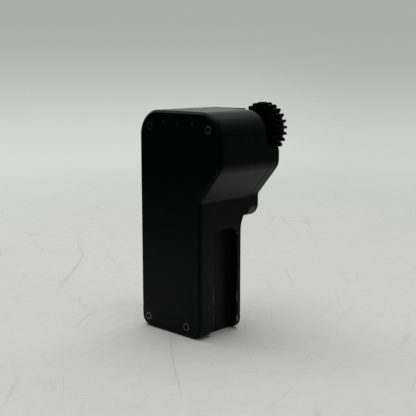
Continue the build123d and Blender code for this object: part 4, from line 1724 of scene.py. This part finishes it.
@dataclass(frozen=True)
class PaleFloor:
    """Pale scuffed floor that takes the object's shadow and thins out into the backdrop."""

    camera: PhotoCamera
    side: float = 4.0
    colour: Triple = (0.602, 0.603, 0.585)
    cloud_scale: float = 9.0
    cloud_share: float = 0.955
    mottle_scale: float = 160.0
    mottle_share: float = 0.91
    mottle_strength: float = 0.6
    scuff_colour: Triple = (0.36, 0.355, 0.34)
    roughness: float = 0.75
    reflectivity: float = 0.1
    stretch: float = 1.7
    thinning: Span = Span(0.06, 0.38)
    front_end: Span = Span(-0.11, -0.065, 1.0, 0.0)
    hairs: tuple[HairLayer, ...] = (
        HairLayer(47.0, 5.0, 17.0, 0.004, 0.36),
        HairLayer(36.0, 4.0, 24.0, 0.0045, 0.3),
        HairLayer(118.0, 6.0, 40.0, 0.008, 0.2),
        HairLayer(20.0, 9.0, 60.0, 0.011, 0.18),
    )

    def build(self) -> None:
        """Lays the floor."""
        bpy.ops.object.select_all(action="DESELECT")
        bpy.ops.mesh.primitive_plane_add(size=self.side, location=(0.0, 0.0, 0.0))
        floor = settle(bpy.context.object, "floor")
        coat = Coat("pale_floor")
        coat.paint(Base_Color=self._colour(coat), Roughness=self.roughness)
        coat.paint(Specular_IOR_Level=self.reflectivity)
        bench = coat.bench
        clear = bench.add("ShaderNodeBsdfTransparent").outputs[0]
        fade = bench.add("ShaderNodeMixShader")
        bench.feed_all(fade, {0: self._thinned(coat), 1: coat.shader.outputs[0], 2: clear})
        output = coat.material.node_tree.nodes["Material Output"]
        bench.feed(output.inputs["Surface"], fade.outputs[0])
        dress(floor, coat.material)

    def _colour(self, coat: Coat) -> Socket:
        """Colour of the floor with its clouds, mottle and scuffs.

        Args:
            coat: The floor's material.

        Returns:
            The colour.
        """
        bench, place = coat.bench, coat.place
        clouds = bench.ramp(bench.noise(place, self.cloud_scale, 5.0, 0.55), 0.3, 0.7)
        colour = bench.mix(clouds, rgba(self.colour, self.cloud_share), rgba(self.colour))
        mottle = bench.ramp(bench.noise(place, self.mottle_scale, 6.0, 0.7), 0.35, 0.7)
        mottle = bench.math("MULTIPLY", mottle, self.mottle_strength)
        colour = bench.mix(mottle, colour, rgba(self.colour, self.mottle_share))
        scuffs = [self._scuffs(coat, layer) for layer in self.hairs]
        mask = scuffs[0]
        for more in scuffs[1:]:
            mask = bench.math("MAXIMUM", mask, more)
        return bench.mix(mask, colour, rgba(self.scuff_colour))

    @staticmethod
    def _scuffs(coat: Coat, layer: HairLayer) -> Socket:
        """Mask of one layer of hair-thin scuffs, which follow the level lines of a noise.

        Args:
            coat: The floor's material.
            layer: The layer's sizes.

        Returns:
            The mask.
        """
        bench = coat.bench
        shift_x, shift_y, patch_share = 0.17, 0.11, 3.2
        drawn_out = bench.add("ShaderNodeMapping", vector_type="TEXTURE")
        moved = {
            "Vector": coat.place,
            "Location": (shift_x * layer.scale, shift_y * layer.scale, 0.0),
            "Rotation": (0.0, 0.0, radians(layer.turn)),
            "Scale": (1.0, layer.stretch, 1.0),
        }
        place = bench.feed_all(drawn_out, moved).outputs["Vector"]
        hills = bench.noise(place, layer.scale, 1.5, 0.4)
        off_line = bench.math("ABSOLUTE", bench.math("SUBTRACT", hills, 0.5))
        line = bench.ramp(off_line, 0.0, layer.width, layer.strength, 0.0)
        patches = bench.ramp(bench.noise(place, patch_share * layer.scale, 2.0, 0.5), 0.5, 0.62)
        return bench.math("MULTIPLY", line, patches)

    def _thinned(self, coat: Coat) -> Socket:
        """Mask of where the floor has thinned out: far from the object, and before the camera.

        Args:
            coat: The floor's material.

        Returns:
            The mask.
        """
        bench, place = coat.bench, coat.place
        away = tuple(self.camera.away() / self.stretch)
        along = bench.vector_math("DOT_PRODUCT", place, away, result="Value")
        right = tuple(self.camera.right())
        across = bench.vector_math("DOT_PRODUCT", place, right, result="Value")
        squares = [bench.math("POWER", part, 2.0) for part in (along, across)]
        distance = bench.math("SQRT", bench.math("ADD", *squares))
        far = bench.ramp(distance, *self.thinning)
        return bench.math("MAXIMUM", far, bench.ramp(along, *self.front_end))


@dataclass(frozen=True)
class Backdrop:
    """A dim room with a pale wall before the camera, and a weaker light behind it.

    The camera sees the pale wall on every side, and reflections see a share of it there.
    """

    camera: PhotoCamera
    colour: Triple = (0.5, 0.511, 0.498)
    room_colour: Triple = (0.012, 0.015, 0.014)
    level: Span = Span(-0.11, 0.055, 1.34, 0.82)
    band_start: Span = Span(0.09, 0.19, 0.0, 1.9)
    band_end: Span = Span(0.26, 0.46, 1.0, 0.0)
    right_shade: Span = Span(0.0, 0.2, 0.0, 0.085)
    shade_height: Span = Span(-0.02, 0.06, 1.0, 0.0)
    before: Span = Span(0.25, 0.85)
    behind: Span = Span(-0.85, -0.25, 1.0, 0.0)
    behind_share: Span = Span(0.0, 0.4, 0.04, 0.5)
    gloss_share: float = 0.05

    def build(self) -> None:
        """Makes the world."""
        world = bpy.data.worlds.new("studio_world")
        bpy.context.scene.world = world
        world.use_nodes = True
        bench = NodeBench(world.node_tree)
        facing = bench.add("ShaderNodeTexCoord").outputs["Generated"]
        height = bench.parts(facing)["Z"]
        pale = bench.scaled(self.colour, self._brightness(bench, facing, height))
        wall = self._wall(bench, facing, height)
        colour = bench.mix(wall, rgba(self.room_colour), pale)
        background = world.node_tree.nodes["Background"]
        bench.feed_all(background, {"Color": colour, "Strength": 1.0})

    def _brightness(self, bench: NodeBench, facing: Socket, height: Socket) -> Socket:
        """Brightness of the pale wall: a sweep, a bright band above it and a shade to the right.

        Args:
            bench: The world's bench.
            facing: The direction looked in.
            height: Its height.

        Returns:
            The brightness.
        """
        band_start = bench.ramp(height, *self.band_start)
        band = bench.math("MULTIPLY", band_start, bench.ramp(height, *self.band_end))
        lit = bench.math("ADD", bench.ramp(height, *self.level), band)
        right = tuple(self.camera.right())
        across = bench.vector_math("DOT_PRODUCT", facing, right, result="Value")
        right_shade = bench.ramp(across, *self.right_shade)
        shade = bench.math("MULTIPLY", right_shade, bench.ramp(height, *self.shade_height))
        return bench.math("MULTIPLY", lit, bench.math("SUBTRACT", 1.0, shade))

    def _wall(self, bench: NodeBench, facing: Socket, height: Socket) -> Socket:
        """How much of the pale wall is seen in a direction, and how little of the dim room.

        Args:
            bench: The world's bench.
            facing: The direction looked in.
            height: Its height.

        Returns:
            The share of the wall.
        """
        away = tuple(self.camera.away())
        towards = bench.vector_math("DOT_PRODUCT", facing, away, result="Value")
        share = bench.ramp(height, *self.behind_share)
        behind = bench.math("MULTIPLY", bench.ramp(towards, *self.behind), share)
        wall = bench.math("MAXIMUM", bench.ramp(towards, *self.before), behind)
        rays = bench.add("ShaderNodeLightPath").outputs
        mirrored = bench.math("MAXIMUM", rays["Is Glossy Ray"], rays["Is Transmission Ray"])
        mirrored = bench.math("MULTIPLY", mirrored, self.gloss_share)
        seen = bench.math("MAXIMUM", rays["Is Camera Ray"], mirrored)
        return bench.math("MAXIMUM", wall, seen)


@dataclass(frozen=True)
class Studio:
    """Pale floor and backdrop, soft lamps and the camera at the photograph's viewing angle."""

    camera: PhotoCamera = PhotoCamera()
    overhead: Softbox = Softbox("overhead_softbox", (-0.05, 0.05, 0.8), (0.9, 0.9), 7.6)
    left: Softbox = Softbox(
        "left_softbox", (-0.75, -0.2, 0.7), (0.35, 0.5), 1.0, target=(0.0, 0.0, 0.05)
    )

    def build(self) -> None:
        """Sets up the studio."""
        PaleFloor(self.camera).build()
        Backdrop(self.camera).build()
        self.overhead.build()
        self.left.build()
        self.camera.build()


def main() -> None:
    """Builds the studio and dresses the object, sub-assembly by sub-assembly."""
    logging.basicConfig(level=logging.INFO, format="%(name)s: %(message)s")
    bpy.context.scene.view_settings.view_transform = "Standard"
    rack = FinishRack(EffectShelf())
    Studio().build()
    Casing(rack).build()
    IndicatorLights(rack).build()
    Fasteners(rack).build()
    FocusDrive(rack).build()
    ControlSocket(rack).build()
    InnerWorks(rack).build()


if __name__ == "__main__":
    main()
